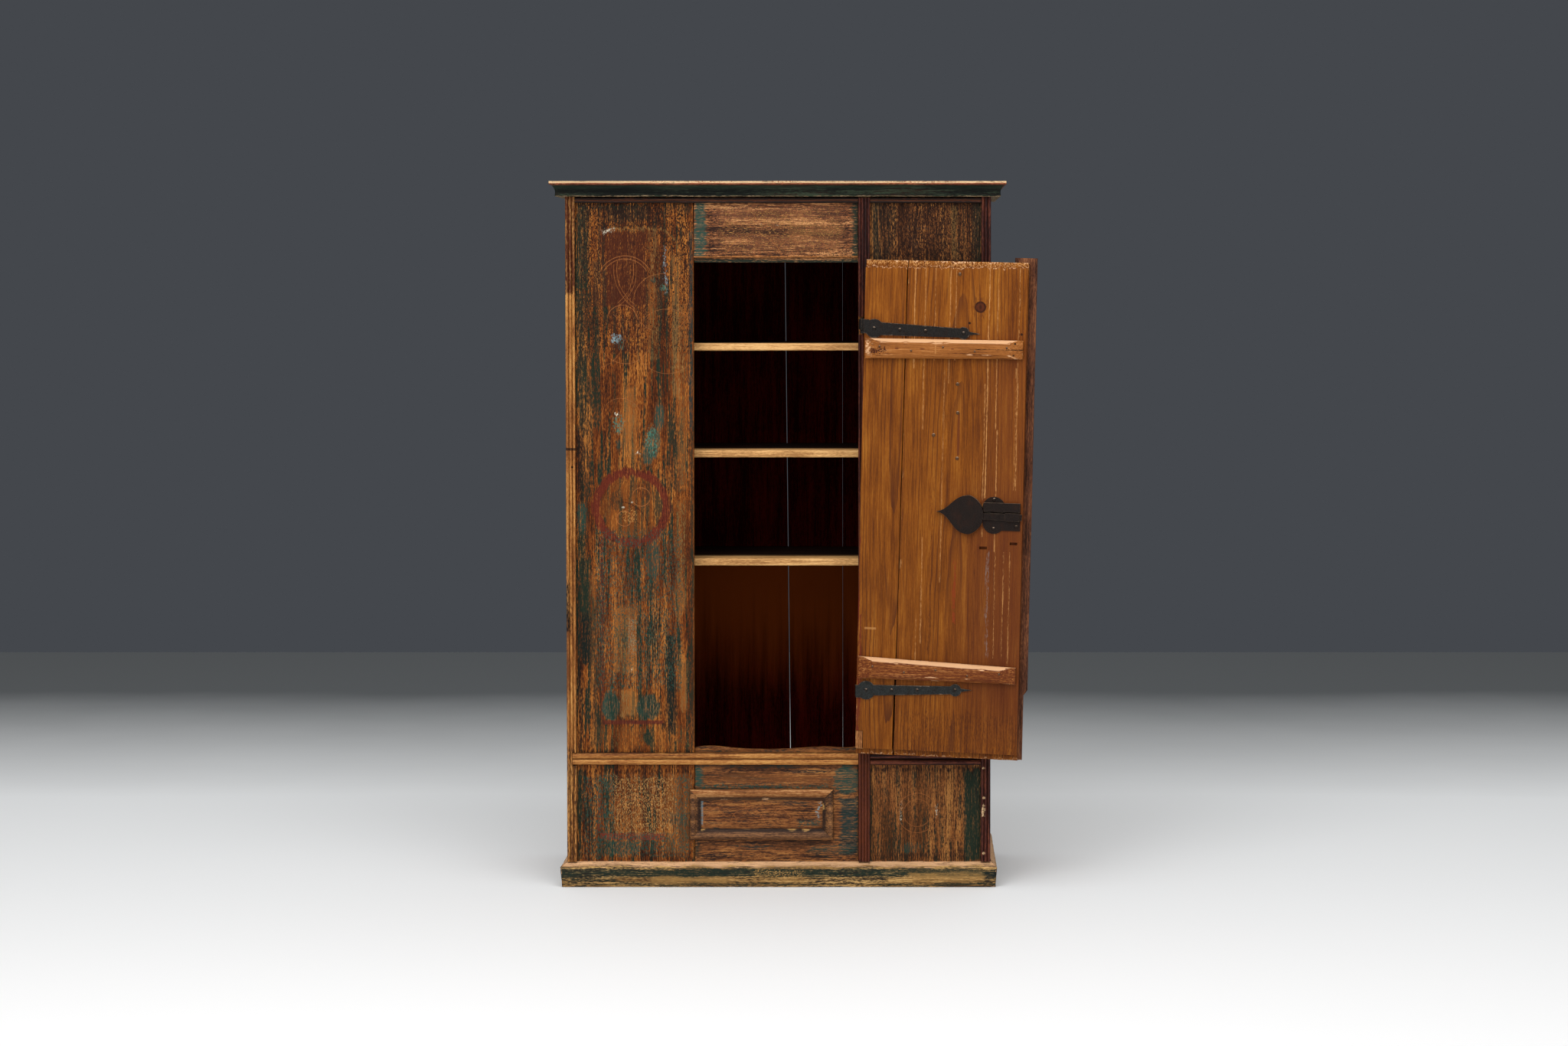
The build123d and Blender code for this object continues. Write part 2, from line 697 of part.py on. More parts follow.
def strap_plate_face(sizes):
    """Root lobe, tapering band, spade and point; x runs from the door's edge to the tip."""
    half_root, half_end, half_neck = sizes["root"] / 2, sizes["end"] / 2, eye_height / 2
    neck = Polyline((0, -half_neck), (strap_lobe_at, -half_neck), (strap_lobe_at, half_neck),
                    (0, half_neck), close=True)
    band = Polyline((strap_lobe_at, -half_root), (strap_spade_at, -half_end),
                    (strap_spade_at, half_end), (strap_lobe_at, half_root), close=True)
    half_tip = strap_tip_width / 2
    point = Polyline((strap_spade_at, -half_tip), (strap_tip_at, 0),
                     (strap_spade_at, half_tip), close=True)
    face = make_face(neck) + make_face(band) + make_face(point)
    face += Pos(strap_lobe_at, 0) * Circle(strap_lobe_radius)
    return face + Pos(strap_spade_at, 0) * Circle(strap_spade_radius)


def strap_nail_spots(height, sizes):
    root = height + sizes["rise"]
    tilt = math.radians(sizes["tilt"])
    return [(hinge_edge - u * math.cos(tilt), root + u * math.sin(tilt)) for u in strap_nails_at]


def hinge_strap(height, sizes, holes):
    """Plate on the inner face, leg through the gap at the edge, eye round the pintle's pin."""
    plate_back = door_inner + iron_thick
    root = height + sizes["rise"]
    plate = slab_of(strap_plate_face(sizes), 0, 0, door_inner, plate_back)
    plate = Pos(hinge_edge, 0, root) * Rot(0, sizes["tilt"], 0) * mirrored(plate)
    low, high = height - eye_height / 2, height + eye_height / 2
    arm_back = axis_foot[1] + eye_radius
    arm_front = arm_back - iron_thick
    bridge = block(hinge_edge - strap_lobe_at / 2, strap_leg_right, door_inner, plate_back,
                   low, high)
    leg = block(strap_leg_left, strap_leg_right, arm_front, plate_back, low, high)
    arm = block(strap_leg_left, axis_x(height), arm_front, arm_back, low, high)
    body = plate + bridge + leg + arm + on_axis(height) * Cylinder(eye_radius, eye_height)
    bore = on_axis(height) * Cylinder(pin_radius + pin_clearance, eye_height * 2)
    return body - bore - holes


# ---- Lock -----------------------------------------------------------------------------------
def lock_plate(holes):
    """Two round lobes, one above the other, and a square tab towards the free edge."""
    x = free_edge + lobe_at
    tab_middle = (lock_tab_low + lock_tab_high) / 2
    tab_length = lobe_at - lock_plate_inset
    face = Pos(0, upper_lobe_rise) * Circle(upper_lobe_radius)
    face += Pos(0, lower_lobe_rise) * Circle(lower_lobe_radius)
    face += Pos(-tab_length / 2, tab_middle) * Rectangle(tab_length, lock_tab_high - lock_tab_low)
    high = door_inner + lock_plate_thick
    plate = slab_of(face, x, lock_height, door_inner, high)
    under_cover = slab_of(cover_face(-guide_side_gap), free_edge + cover_at,
                          lock_height + cover_rise, door_inner, high)
    return plate - under_cover - holes


def cover_face(inset):
    """A spade: a round back, and flanks that turn hollow towards the tip."""
    back, high = cover_back - inset, cover_half_height - inset
    front = cover_front - inset * cover_front / cover_half_height
    waist_x = front * cover_waist
    waist_half = high * cover_waist_share
    waist_rise = cover_tip_rise * cover_waist
    tip = (front, cover_tip_rise)
    upper = Spline((0, high), (waist_x, waist_rise + waist_half), tip,
                   tangents=[(1, 0), (1, -cover_tip_slope)])
    lower = Spline((0, -high), (waist_x, waist_rise - waist_half), tip,
                   tangents=[(1, 0), (1, cover_tip_slope)])
    round_back = ThreePointArc((0, high), (-back, 0), (0, -high))
    return outline_face([upper, lower, round_back])


def lock_cover():
    """A shell over the bolt's tail, open towards the door, with a slot in its back rim."""
    x, z = free_edge + cover_at, lock_height + cover_rise
    high = door_inner + cover_height
    outer = slab_of(cover_face(0), x, z, door_inner, high)
    hollow = slab_of(cover_face(cover_wall), x, z, door_inner, high - cover_wall)
    low = lock_height - bolt_height / 2 - guide_side_gap
    top = lock_height + bolt_height / 2 + guide_side_gap
    slot = block(x - cover_back - cover_wall, x, door_inner,
                 door_inner + lock_plate_thick + bolt_thick + 2 * bolt_lift, low, top)
    return outer - hollow - slot


def bolt_low_y():
    return door_inner + lock_plate_thick + bolt_lift


def lock_bolt():
    """Drawn back, so that the door can shut. A notch in the tail takes the key's bit."""
    y0 = bolt_low_y()
    half = bolt_height / 2
    x0, x1 = free_edge + bolt_setback, free_edge + bolt_setback + bolt_length
    bar = block(x0, x1, y0, y0 + bolt_thick, lock_height - half, lock_height + half)
    notch_end = x1 - bolt_notch
    notch = block(notch_end - bolt_notch, notch_end, y0, y0 + bolt_thick,
                  lock_height - half, lock_height)
    return bar - notch


def bolt_guide():
    """A bridge over the bolt, standing on the plate."""
    x0, x1 = free_edge + guide_near, free_edge + guide_far
    y0 = door_inner + lock_plate_thick
    under = bolt_low_y() + bolt_thick + bolt_lift
    gap = bolt_height / 2 + guide_side_gap
    outer = block(x0, x1, y0, under + guide_wall, lock_height - gap - guide_wall,
                  lock_height + gap + guide_wall)
    return outer - block(x0, x1, y0, under, lock_height - gap, lock_height + gap)


def rail_end():
    return free_edge + cover_at - cover_back - guide_side_gap


def lock_rail():
    x0, x1 = free_edge + lock_plate_inset, rail_end()
    y0 = door_inner + lock_plate_thick
    return block(x0, x1, y0, y0 + rail_thick, lock_height + rail_low, lock_height + rail_high)


def lock_spring():
    """A bowed leaf that hangs from the rail's underside and drags on the bolt."""
    x0, x1 = free_edge + guide_far + guide_side_gap, rail_end()
    top = rail_low
    low = bolt_height / 2 + bolt_lift
    middle = (x0 + x1) / 2
    upper = ThreePointArc((x0, top), (middle, low + spring_thick), (x1, top))
    lower = ThreePointArc((x0, top - spring_thick), (middle, low), (x1, top - spring_thick))
    ends = [Line((x, top - spring_thick), (x, top)) for x in (x0, x1)]
    y0 = door_inner + lock_plate_thick
    return slab_of(outline_face([upper, lower] + ends), 0, lock_height, y0, y0 + bolt_thick)


def rivet_spots():
    """Rivets of the lock plate: the upper lobe, the lower lobe and the tab's corner."""
    return [(free_edge + along, lock_height + rise) for along, rise in rivets_at]


def escutcheon():
    """A round plate about the keyhole on the door's face."""
    x = free_edge + keyhole_at
    disc = slab_of(Circle(escutcheon_radius), x, lock_height - escutcheon_drop,
                   door_front - escutcheon_thick, door_front)
    return disc - keyhole(door_front - escutcheon_thick, door_front)


def bolt_keeper():
    """A staple behind the left front board; the thrown bolt runs in behind it."""
    x1 = opening_left - keeper_inset
    x0 = x1 - keeper_width
    gap = bolt_height / 2 + guide_side_gap
    under = bolt_low_y() + bolt_thick + bolt_lift
    outer = block(x0, x1, front_thick, under + keeper_thick, lock_height - gap - keeper_thick,
                  lock_height + gap + keeper_thick)
    feet = block(x0, x1, front_thick, front_thick + keeper_thick,
                 lock_height - gap - keeper_foot, lock_height + gap + keeper_foot)
    return outer + feet - block(x0, x1, front_thick, under, lock_height - gap, lock_height + gap)


# ---- The whole cabinet ----------------------------------------------------------------------
def carcass_pieces():
    spots = back_nail_spots()
    sunk = body_depth - nail_head_height
    holes = nail_holes(spots, sunk, back_nail_length) + head_recesses(spots, sunk)
    inner_left = -half_body + stile_moulding_width
    inner_right = half_body - stile_moulding_width
    centre_right = opening_right + centre_moulding_width
    right_side = side_board()
    right_cornice = cornice_side()
    right_plinth = plinth_side()
    pieces = {
        "side_board_left": mirrored(right_side),
        "side_board_right": right_side,
        "bottom_board": bottom_board(holes),
        "top_board": top_board(holes),
        "back_plank_left": back_plank(0, holes),
        "back_plank_middle": back_plank(1, holes),
        "back_plank_right": back_plank(2, holes),
        "front_board_left": left_front_board(),
        "front_board_right": right_front_board(),
        "frieze_board": frieze_board(),
        "lower_front_board": lower_front_board(),
        "shelf_cleats": cleats([top - shelf_thick for top in shelf_tops.values()]),
        "bottom_cleats": cleats([bottom_underside]),
        "cornice_front": cornice_front(),
        "cornice_left": mirrored(right_cornice),
        "cornice_right": right_cornice,
        "plinth_front": plinth_front(),
        "plinth_left": mirrored(right_plinth),
        "plinth_right": right_plinth,
        "stile_moulding_left": left_stile_moulding(),
        "stile_moulding_right": stile_moulding(inner_right),
        "centre_moulding": centre_moulding(),
        "top_moulding_main": top_moulding(inner_left, opening_right),
        "top_moulding_right": top_moulding(centre_right, inner_right),
        "mid_moulding_left": mid_moulding(inner_left - mid_moulding_lap, opening_right),
        "mid_moulding_right": mid_moulding(centre_right, inner_right),
        "hinge_pintle_upper": pintle(upper_hinge_height),
        "hinge_pintle_lower": pintle(lower_hinge_height),
        "bolt_keeper": bolt_keeper(),
        "back_nails": nails_at(spots, sunk, back_nail_length),
    }
    for name, top in shelf_tops.items():
        pieces["shelf_" + name] = shelf(top, holes)
    for side in ("top", "bottom", "left", "right"):
        pieces["panel_frame_" + side] = panel_frame_piece(side)
    return pieces


def door_pieces():
    batten_face = door_inner + batten_thick
    upper_spots = batten_nail_spots(upper_hinge_height, upper_batten)
    lower_spots = batten_nail_spots(lower_hinge_height, lower_batten)
    batten_spots = upper_spots + lower_spots
    batten_holes = nail_holes(batten_spots, batten_face, batten_nail_length)
    strap_spots = strap_nail_spots(upper_hinge_height, upper_strap)
    strap_spots += strap_nail_spots(lower_hinge_height, lower_strap)
    strap_face = door_inner + iron_thick
    strap_holes = nail_holes(strap_spots, strap_face, strap_nail_length)
    lone_spots = [(free_edge + x, door_head - drop) for x, drop in lone_nails_at]
    lone_holes = nail_holes(lone_spots, door_inner, door_nail_length)
    plate_face = door_inner + lock_plate_thick
    rivet_holes = nail_holes(rivet_spots(), plate_face, rivet_length)
    board_holes = batten_holes + strap_holes + lone_holes + rivet_holes
    return {
        "door_board_main": door_board_main(board_holes),
        "door_board_hinge_side": door_board_hinge_side(board_holes),
        "door_corner_patch": door_corner_patch(),
        "door_edge_strip": door_edge_strip(),
        "door_batten_upper": batten(upper_hinge_height, upper_batten, batten_holes),
        "door_batten_lower": batten(lower_hinge_height, lower_batten, batten_holes),
        "hinge_strap_upper": hinge_strap(upper_hinge_height, upper_strap, strap_holes),
        "hinge_strap_lower": hinge_strap(lower_hinge_height, lower_strap, strap_holes),
        "batten_nails": nails_at(batten_spots, batten_face, batten_nail_length,
                                 batten_nail_head_radius),
        "hinge_nails": nails_at(strap_spots, strap_face, strap_nail_length),
        "door_nails": nails_at(lone_spots, door_inner, door_nail_length),
        "lock_plate": lock_plate(rivet_holes),
        "lock_cover": lock_cover(),
        "lock_rail": lock_rail(),
        "lock_spring": lock_spring(),
        "lock_rivets": nails_at(rivet_spots(), plate_face, rivet_length),
        "bolt_guide": bolt_guide(),
        "lock_bolt": lock_bolt(),
        "escutcheon": escutcheon(),
    }


def write_steps():
    os.makedirs("parts", exist_ok=True)
    pieces = carcass_pieces()
    for name, body in door_pieces().items():
        pieces[name] = swung_open(body)
    for name, body in pieces.items():
        export_step(body, "parts/" + name + ".step")


write_steps()
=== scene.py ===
"""The look of a one-door store cupboard of old painted pine with wrought-iron fittings.

Boards, mouldings and irons are dressed copies of the CAD solids: their edges are worn, their faces
are cut into a grid and move inwards with use and weather. Metres, in the shared frame. Sizes of
wear and of patterns are in millimetres. The door's pieces are made with the door shut, and are then
swung open with it.
"""

import json
import math

import bmesh
import bpy
import numpy as np
from bpy.props import FloatProperty, FloatVectorProperty, IntProperty, PointerProperty
from mathutils import Matrix, Vector, noise

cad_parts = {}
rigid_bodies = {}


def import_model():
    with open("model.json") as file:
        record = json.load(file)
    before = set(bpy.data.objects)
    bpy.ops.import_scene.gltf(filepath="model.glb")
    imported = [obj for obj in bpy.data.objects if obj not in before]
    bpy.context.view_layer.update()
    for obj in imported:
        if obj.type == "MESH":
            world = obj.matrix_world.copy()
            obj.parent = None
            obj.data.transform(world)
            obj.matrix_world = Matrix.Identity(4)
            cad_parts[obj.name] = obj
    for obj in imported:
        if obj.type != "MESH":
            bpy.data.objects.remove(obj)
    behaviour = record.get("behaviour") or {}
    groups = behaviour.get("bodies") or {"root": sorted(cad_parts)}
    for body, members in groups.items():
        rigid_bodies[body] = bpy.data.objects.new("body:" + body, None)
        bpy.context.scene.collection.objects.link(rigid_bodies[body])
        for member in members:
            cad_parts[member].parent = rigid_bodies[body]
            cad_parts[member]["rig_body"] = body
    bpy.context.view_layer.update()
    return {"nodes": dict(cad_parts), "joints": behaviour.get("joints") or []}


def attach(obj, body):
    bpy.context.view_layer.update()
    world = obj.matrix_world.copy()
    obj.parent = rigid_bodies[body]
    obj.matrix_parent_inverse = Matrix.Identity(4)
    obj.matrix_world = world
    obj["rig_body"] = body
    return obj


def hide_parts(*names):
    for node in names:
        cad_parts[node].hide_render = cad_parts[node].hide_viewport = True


bl_info = {
    "name": "Painted store cupboard",
    "version": (1, 0, 0),
    "blender": (4, 5, 0),
    "location": "3D View > Sidebar > Cupboard",
    "description": "Worn boards, painted ornament and forged irons of a one-door cupboard",
    "category": "Object",
}

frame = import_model()

MM = 0.001
SHARP = math.radians(32.0)  # edges between faces that meet at more than this are real edges
LONG_EDGE = 0.018  # only edges longer than this are worn and get cuts beside them
WELD = 1e-6  # points nearer than this are one point
CUTS_BESIDE_EDGE = (1.6, 4.5)  # where the grid is cut beside an edge, as times its easing
CUT_MARGIN, CUT_GAP = 0.0005, 0.0008  # least distance of a cut from the ends and from another

# Bumps of noise per metre: slow wear of edges, chips, long dips and ripples of a face, dents
SLOW, CHIPS, DIPS, RIPPLES, DENTS = 45.0, 130.0, 11.0, 48.0, 160.0
GRAIN_STRETCH = 0.35  # wear runs along the grain


def hinge_turn(angle):
    """The turn of the door about its leaning hinge, from shut."""
    hinge = next(j for j in frame["joints"] if j["name"] == "door_hinge")
    pin = Matrix.Translation(Vector(hinge["pos_m"]))
    return pin @ Matrix.Rotation(angle, 4, Vector(hinge["axis"])) @ pin.inverted()


def open_angle():
    """The door stands open by the whole of its travel towards shut."""
    hinge = next(j for j in frame["joints"] if j["name"] == "door_hinge")
    return math.radians(-hinge["range_deg"][0])


DOOR_OPEN = hinge_turn(open_angle())


# ---- Settings ---------------------------------------------------------------------------------
def linear(code):
    """A screen colour such as #aabbcc as the linear colour that shaders take."""
    parts = [int(code[i : i + 2], 16) / 255 for i in (1, 3, 5)]
    return tuple(p / 12.92 if p <= 0.04045 else ((p + 0.055) / 1.055) ** 2.4 for p in parts)


def paint(name, description, code):
    """A colour setting."""
    return FloatVectorProperty(
        name=name, description=description, subtype="COLOR", size=3, min=0, max=1,
        default=linear(code),
    )


def length(name, description, millimetres):
    """A size setting, shown in the scene's units."""
    return FloatProperty(
        name=name, description=description, default=millimetres * MM, min=0, unit="LENGTH",
        subtype="DISTANCE", precision=5,
    )


def power(name, description, watts):
    """A lamp's setting."""
    return FloatProperty(name=name, description=description, default=watts, min=0, unit="POWER")


class CupboardColours(bpy.types.PropertyGroup):
    """Paints, woods and metals of the cupboard."""

    honey: paint("Honey", "Old varnish over pine", "#a8672b")
    gold: paint("Gold", "Lightest streaks of the varnish", "#b98244")
    stain: paint("Stain", "Dark streaks of old varnish", "#271309")
    ochre: paint("Ochre", "Worn ochre paint", "#b98d4e")
    oxblood: paint("Oxblood", "Dark red-brown field", "#4a1f0b")
    oxblood_red: paint("Oxblood red", "Red border line", "#5a2516")
    maroon: paint("Maroon", "Ring and dark mouldings", "#642413")
    red: paint("Red", "Bright red band", "#7e301f")
    rose: paint("Rose", "Pinkish streaks", "#9d5f41")
    green: paint("Green", "Dark green paint", "#1e2b1e")
    grey_green: paint("Grey-green", "Thin dark green glaze", "#2e2b1c")
    blue_green: paint("Blue-green", "Border strip", "#1f3430")
    black_green: paint("Black-green", "Darkest paint", "#141d17")
    teal: paint("Teal", "Teal corners", "#28473c")
    turquoise: paint("Turquoise", "Light patches of old paint", "#47705f")
    pale_blue: paint("Pale blue", "Blots of whitish blue", "#7e9296")
    chalk: paint("Chalk", "White scratches and specks", "#c9bfa8")
    cream: paint("Cream", "Cream line of the cornice", "#dcb98c")
    # Also a painted highlight: on faces of the battens that point up, and along the door's edges
    pink_cream: paint("Pink cream", "Chamfers worn to the wood", "#e3b183")
    cut: paint("Cut line", "Wood laid bare in an incised line", "#a1602f")
    knot: paint("Knot", "Pine knot", "#3f190b")
    resin: paint("Resin", "Resin streak", "#5d2a10")
    pale_streak: paint("Pale streak", "Pale lines in the door's wood", "#b98249")
    grain_dark: paint("Dark grain", "Dark lines in the door's wood", "#4c230b")
    red_stain: paint("Red stain", "Reddish streak", "#8e3314")
    blue_grey: paint("Blue-grey", "Bluish streak of old damp", "#8a7c74")
    new_wood: paint("New wood", "Wood let in later", "#cf9a62")
    black: paint("Black", "Holes and cracks", "#0c0503")
    bare: paint("Bare wood", "Wood laid bare on worn edges", "#9a6a3c")
    # Painted light: the warmer planks just under the lowest shelf, where light reaches in
    grime: paint("Grime", "Dirt in grooves and corners", "#1d0f09")
    warm_dark: paint("Warm dark", "Planks under the lowest shelf", "#6b2f0c")
    # Also a painted highlight on faces of the irons that point up
    iron_rim: paint("Iron rim", "Iron rubbed pale by hands", "#a68d76")


class CupboardWear(bpy.types.PropertyGroup):
    """How worn the pieces are, and how finely they are cut."""

    edge_reach: length("Edge reach", "How far from an edge its wear is seen", 7.0)
    edge_ease: length("Edge easing", "Wear along every edge of a board", 0.9)
    chip_depth: length("Chip depth", "Depth of the chips along an edge", 2.6)
    face_wave: length("Face wave", "How far a board's face dips between high places", 0.7)
    cut_along: length("Cut along", "Grid step along a board", 6.5)
    cut_across: length("Cut across", "Grid step across a board", 18.0)
    iron_round: length("Iron rounding", "Rounding of forged edges", 0.6)
    iron_dent: length("Iron dents", "Depth of hammer marks", 0.35)
    seed: IntProperty(name="Seed", description="Another pattern of wear", default=3, min=0)


class CupboardStage(bpy.types.PropertyGroup):
    """Floor, backdrop, lamps and camera."""

    # Floor colours grey with distance from the lamps: a painted fall-off of the light
    floor_near: paint("Floor, near", "Floor in front of the cupboard", "#f2f2f2")
    floor_middle: paint("Floor, beside", "Floor beside the cupboard", "#eceeef")
    floor_far: paint("Floor, far", "Floor at the backdrop", "#64686a")
    backdrop: paint("Backdrop", "Colour behind the cupboard", "#44474c")
    sky: FloatProperty(name="Sky", description="Level of light from all sides", default=0.5, min=0)
    key: power("Key", "Main soft lamp", 80)
    fill: power("Fill", "Second soft lamp", 34)
    top: power("Top", "Soft lamp overhead", 235)
    lens: FloatProperty(name="Lens", description="Focal length in mm", default=69.007, min=10)


GROUPS = {
    "cupboard_colours": CupboardColours,
    "cupboard_wear": CupboardWear,
    "cupboard_stage": CupboardStage,
}


def colour(name):
    """A colour setting as shaders take it."""
    return (*getattr(bpy.context.scene.cupboard_colours, name), 1.0)


def wear():
    """The settings of wear."""
    return bpy.context.scene.cupboard_wear


# ---- Tones of the woods, from their darkest streaks to their lightest -------------------------
# Inner tones are painted shade: the near-black of inside faces, where little light reaches
INNER_SHADE_STOPS = {0.25: "#0b0402", 0.5: "#170904", 0.75: "#2b1509"}
# Deep tones are painted shade of the back planks' inside
DEEP_SHADE_STOPS = {0.3: "#180201", 0.8: "#3d0804"}
HONEY_STOPS = {0.2: "#331604", 0.4: "#5c2907", 0.58: "#7c4010", 0.82: "#a36528"}
PINK_STOPS = {0.24: "#301508", 0.4: "#643719", 0.58: "#8f552d", 0.78: "#c48a56"}
BROWN_STOPS = {0.22: "#46260c", 0.4: "#663a18", 0.6: "#814c22", 0.85: "#9c6833"}
DOOR_STOPS = {0.15: "#592a04", 0.42: "#743d07", 0.6: "#82470b", 0.9: "#9a5f1c"}
BATTEN_STOPS = {0.2: "#5f3110", 0.42: "#885020", 0.6: "#985c28", 0.85: "#b27844"}
STRIP_STOPS = {0.2: "#2b160c", 0.5: "#593320", 0.8: "#855433"}
SIDE_STOPS = {0.25: "#371b10", 0.5: "#673b1e", 0.75: "#98652f"}
TAN_STOPS = {0.2: "#9a6c3c", 0.5: "#cf9c60", 0.8: "#e3b578"}
MAROON_STOPS = {0.25: "#1f0b09", 0.5: "#3c1710", 0.8: "#6b3520"}
RIDGE_STOPS = {0.2: "#663816", 0.5: "#9b622c", 0.8: "#c08a49"}
TEAL_STOPS = {0.25: "#060a07", 0.5: "#0f140d", 0.8: "#2b3425"}
OCHRE_STOPS = {0.2: "#4f341a", 0.5: "#98703c", 0.8: "#c49b5e"}
FRAME_STOPS = {0.2: "#2c1b10", 0.5: "#5e3c22", 0.8: "#946438"}
PALE_STOPS = {0.2: "#5f3718", 0.5: "#8c562a", 0.8: "#bd8a55"}
OUTSIDE_STOPS = {0.25: "#4a3322", 0.5: "#7c5c3c", 0.8: "#a68459"}


# ---- Painted ornament -------------------------------------------------------------------------
def read_marks(table):
    """Reads painted marks, one to a line: form, four numbers, colour, strength, how it lies.

    Places are in millimetres in X and Z. A row without a form is a patch, x0 x1 z0 z1. A blob is
    its middle and two radii, and a ring its middle, radius and half width, with four more numbers
    where it is only seen in a patch. Paint lies solid, as an even glaze, as a soft shade, in
    flecks or in squiggles, and where nothing is said it is worn through in places.
    """
    rows = []
    for line in table.strip().splitlines():
        words = line.split()
        form = words.pop(0) if words[0].isalpha() else "patch"
        place, name, strength = map(float, words[:4]), words[4], float(words[5])
        lies = words[6] if len(words) > 6 else "worn"
        rows.append((form, *place, name, strength, lies, *map(float, words[7:])))
    return rows


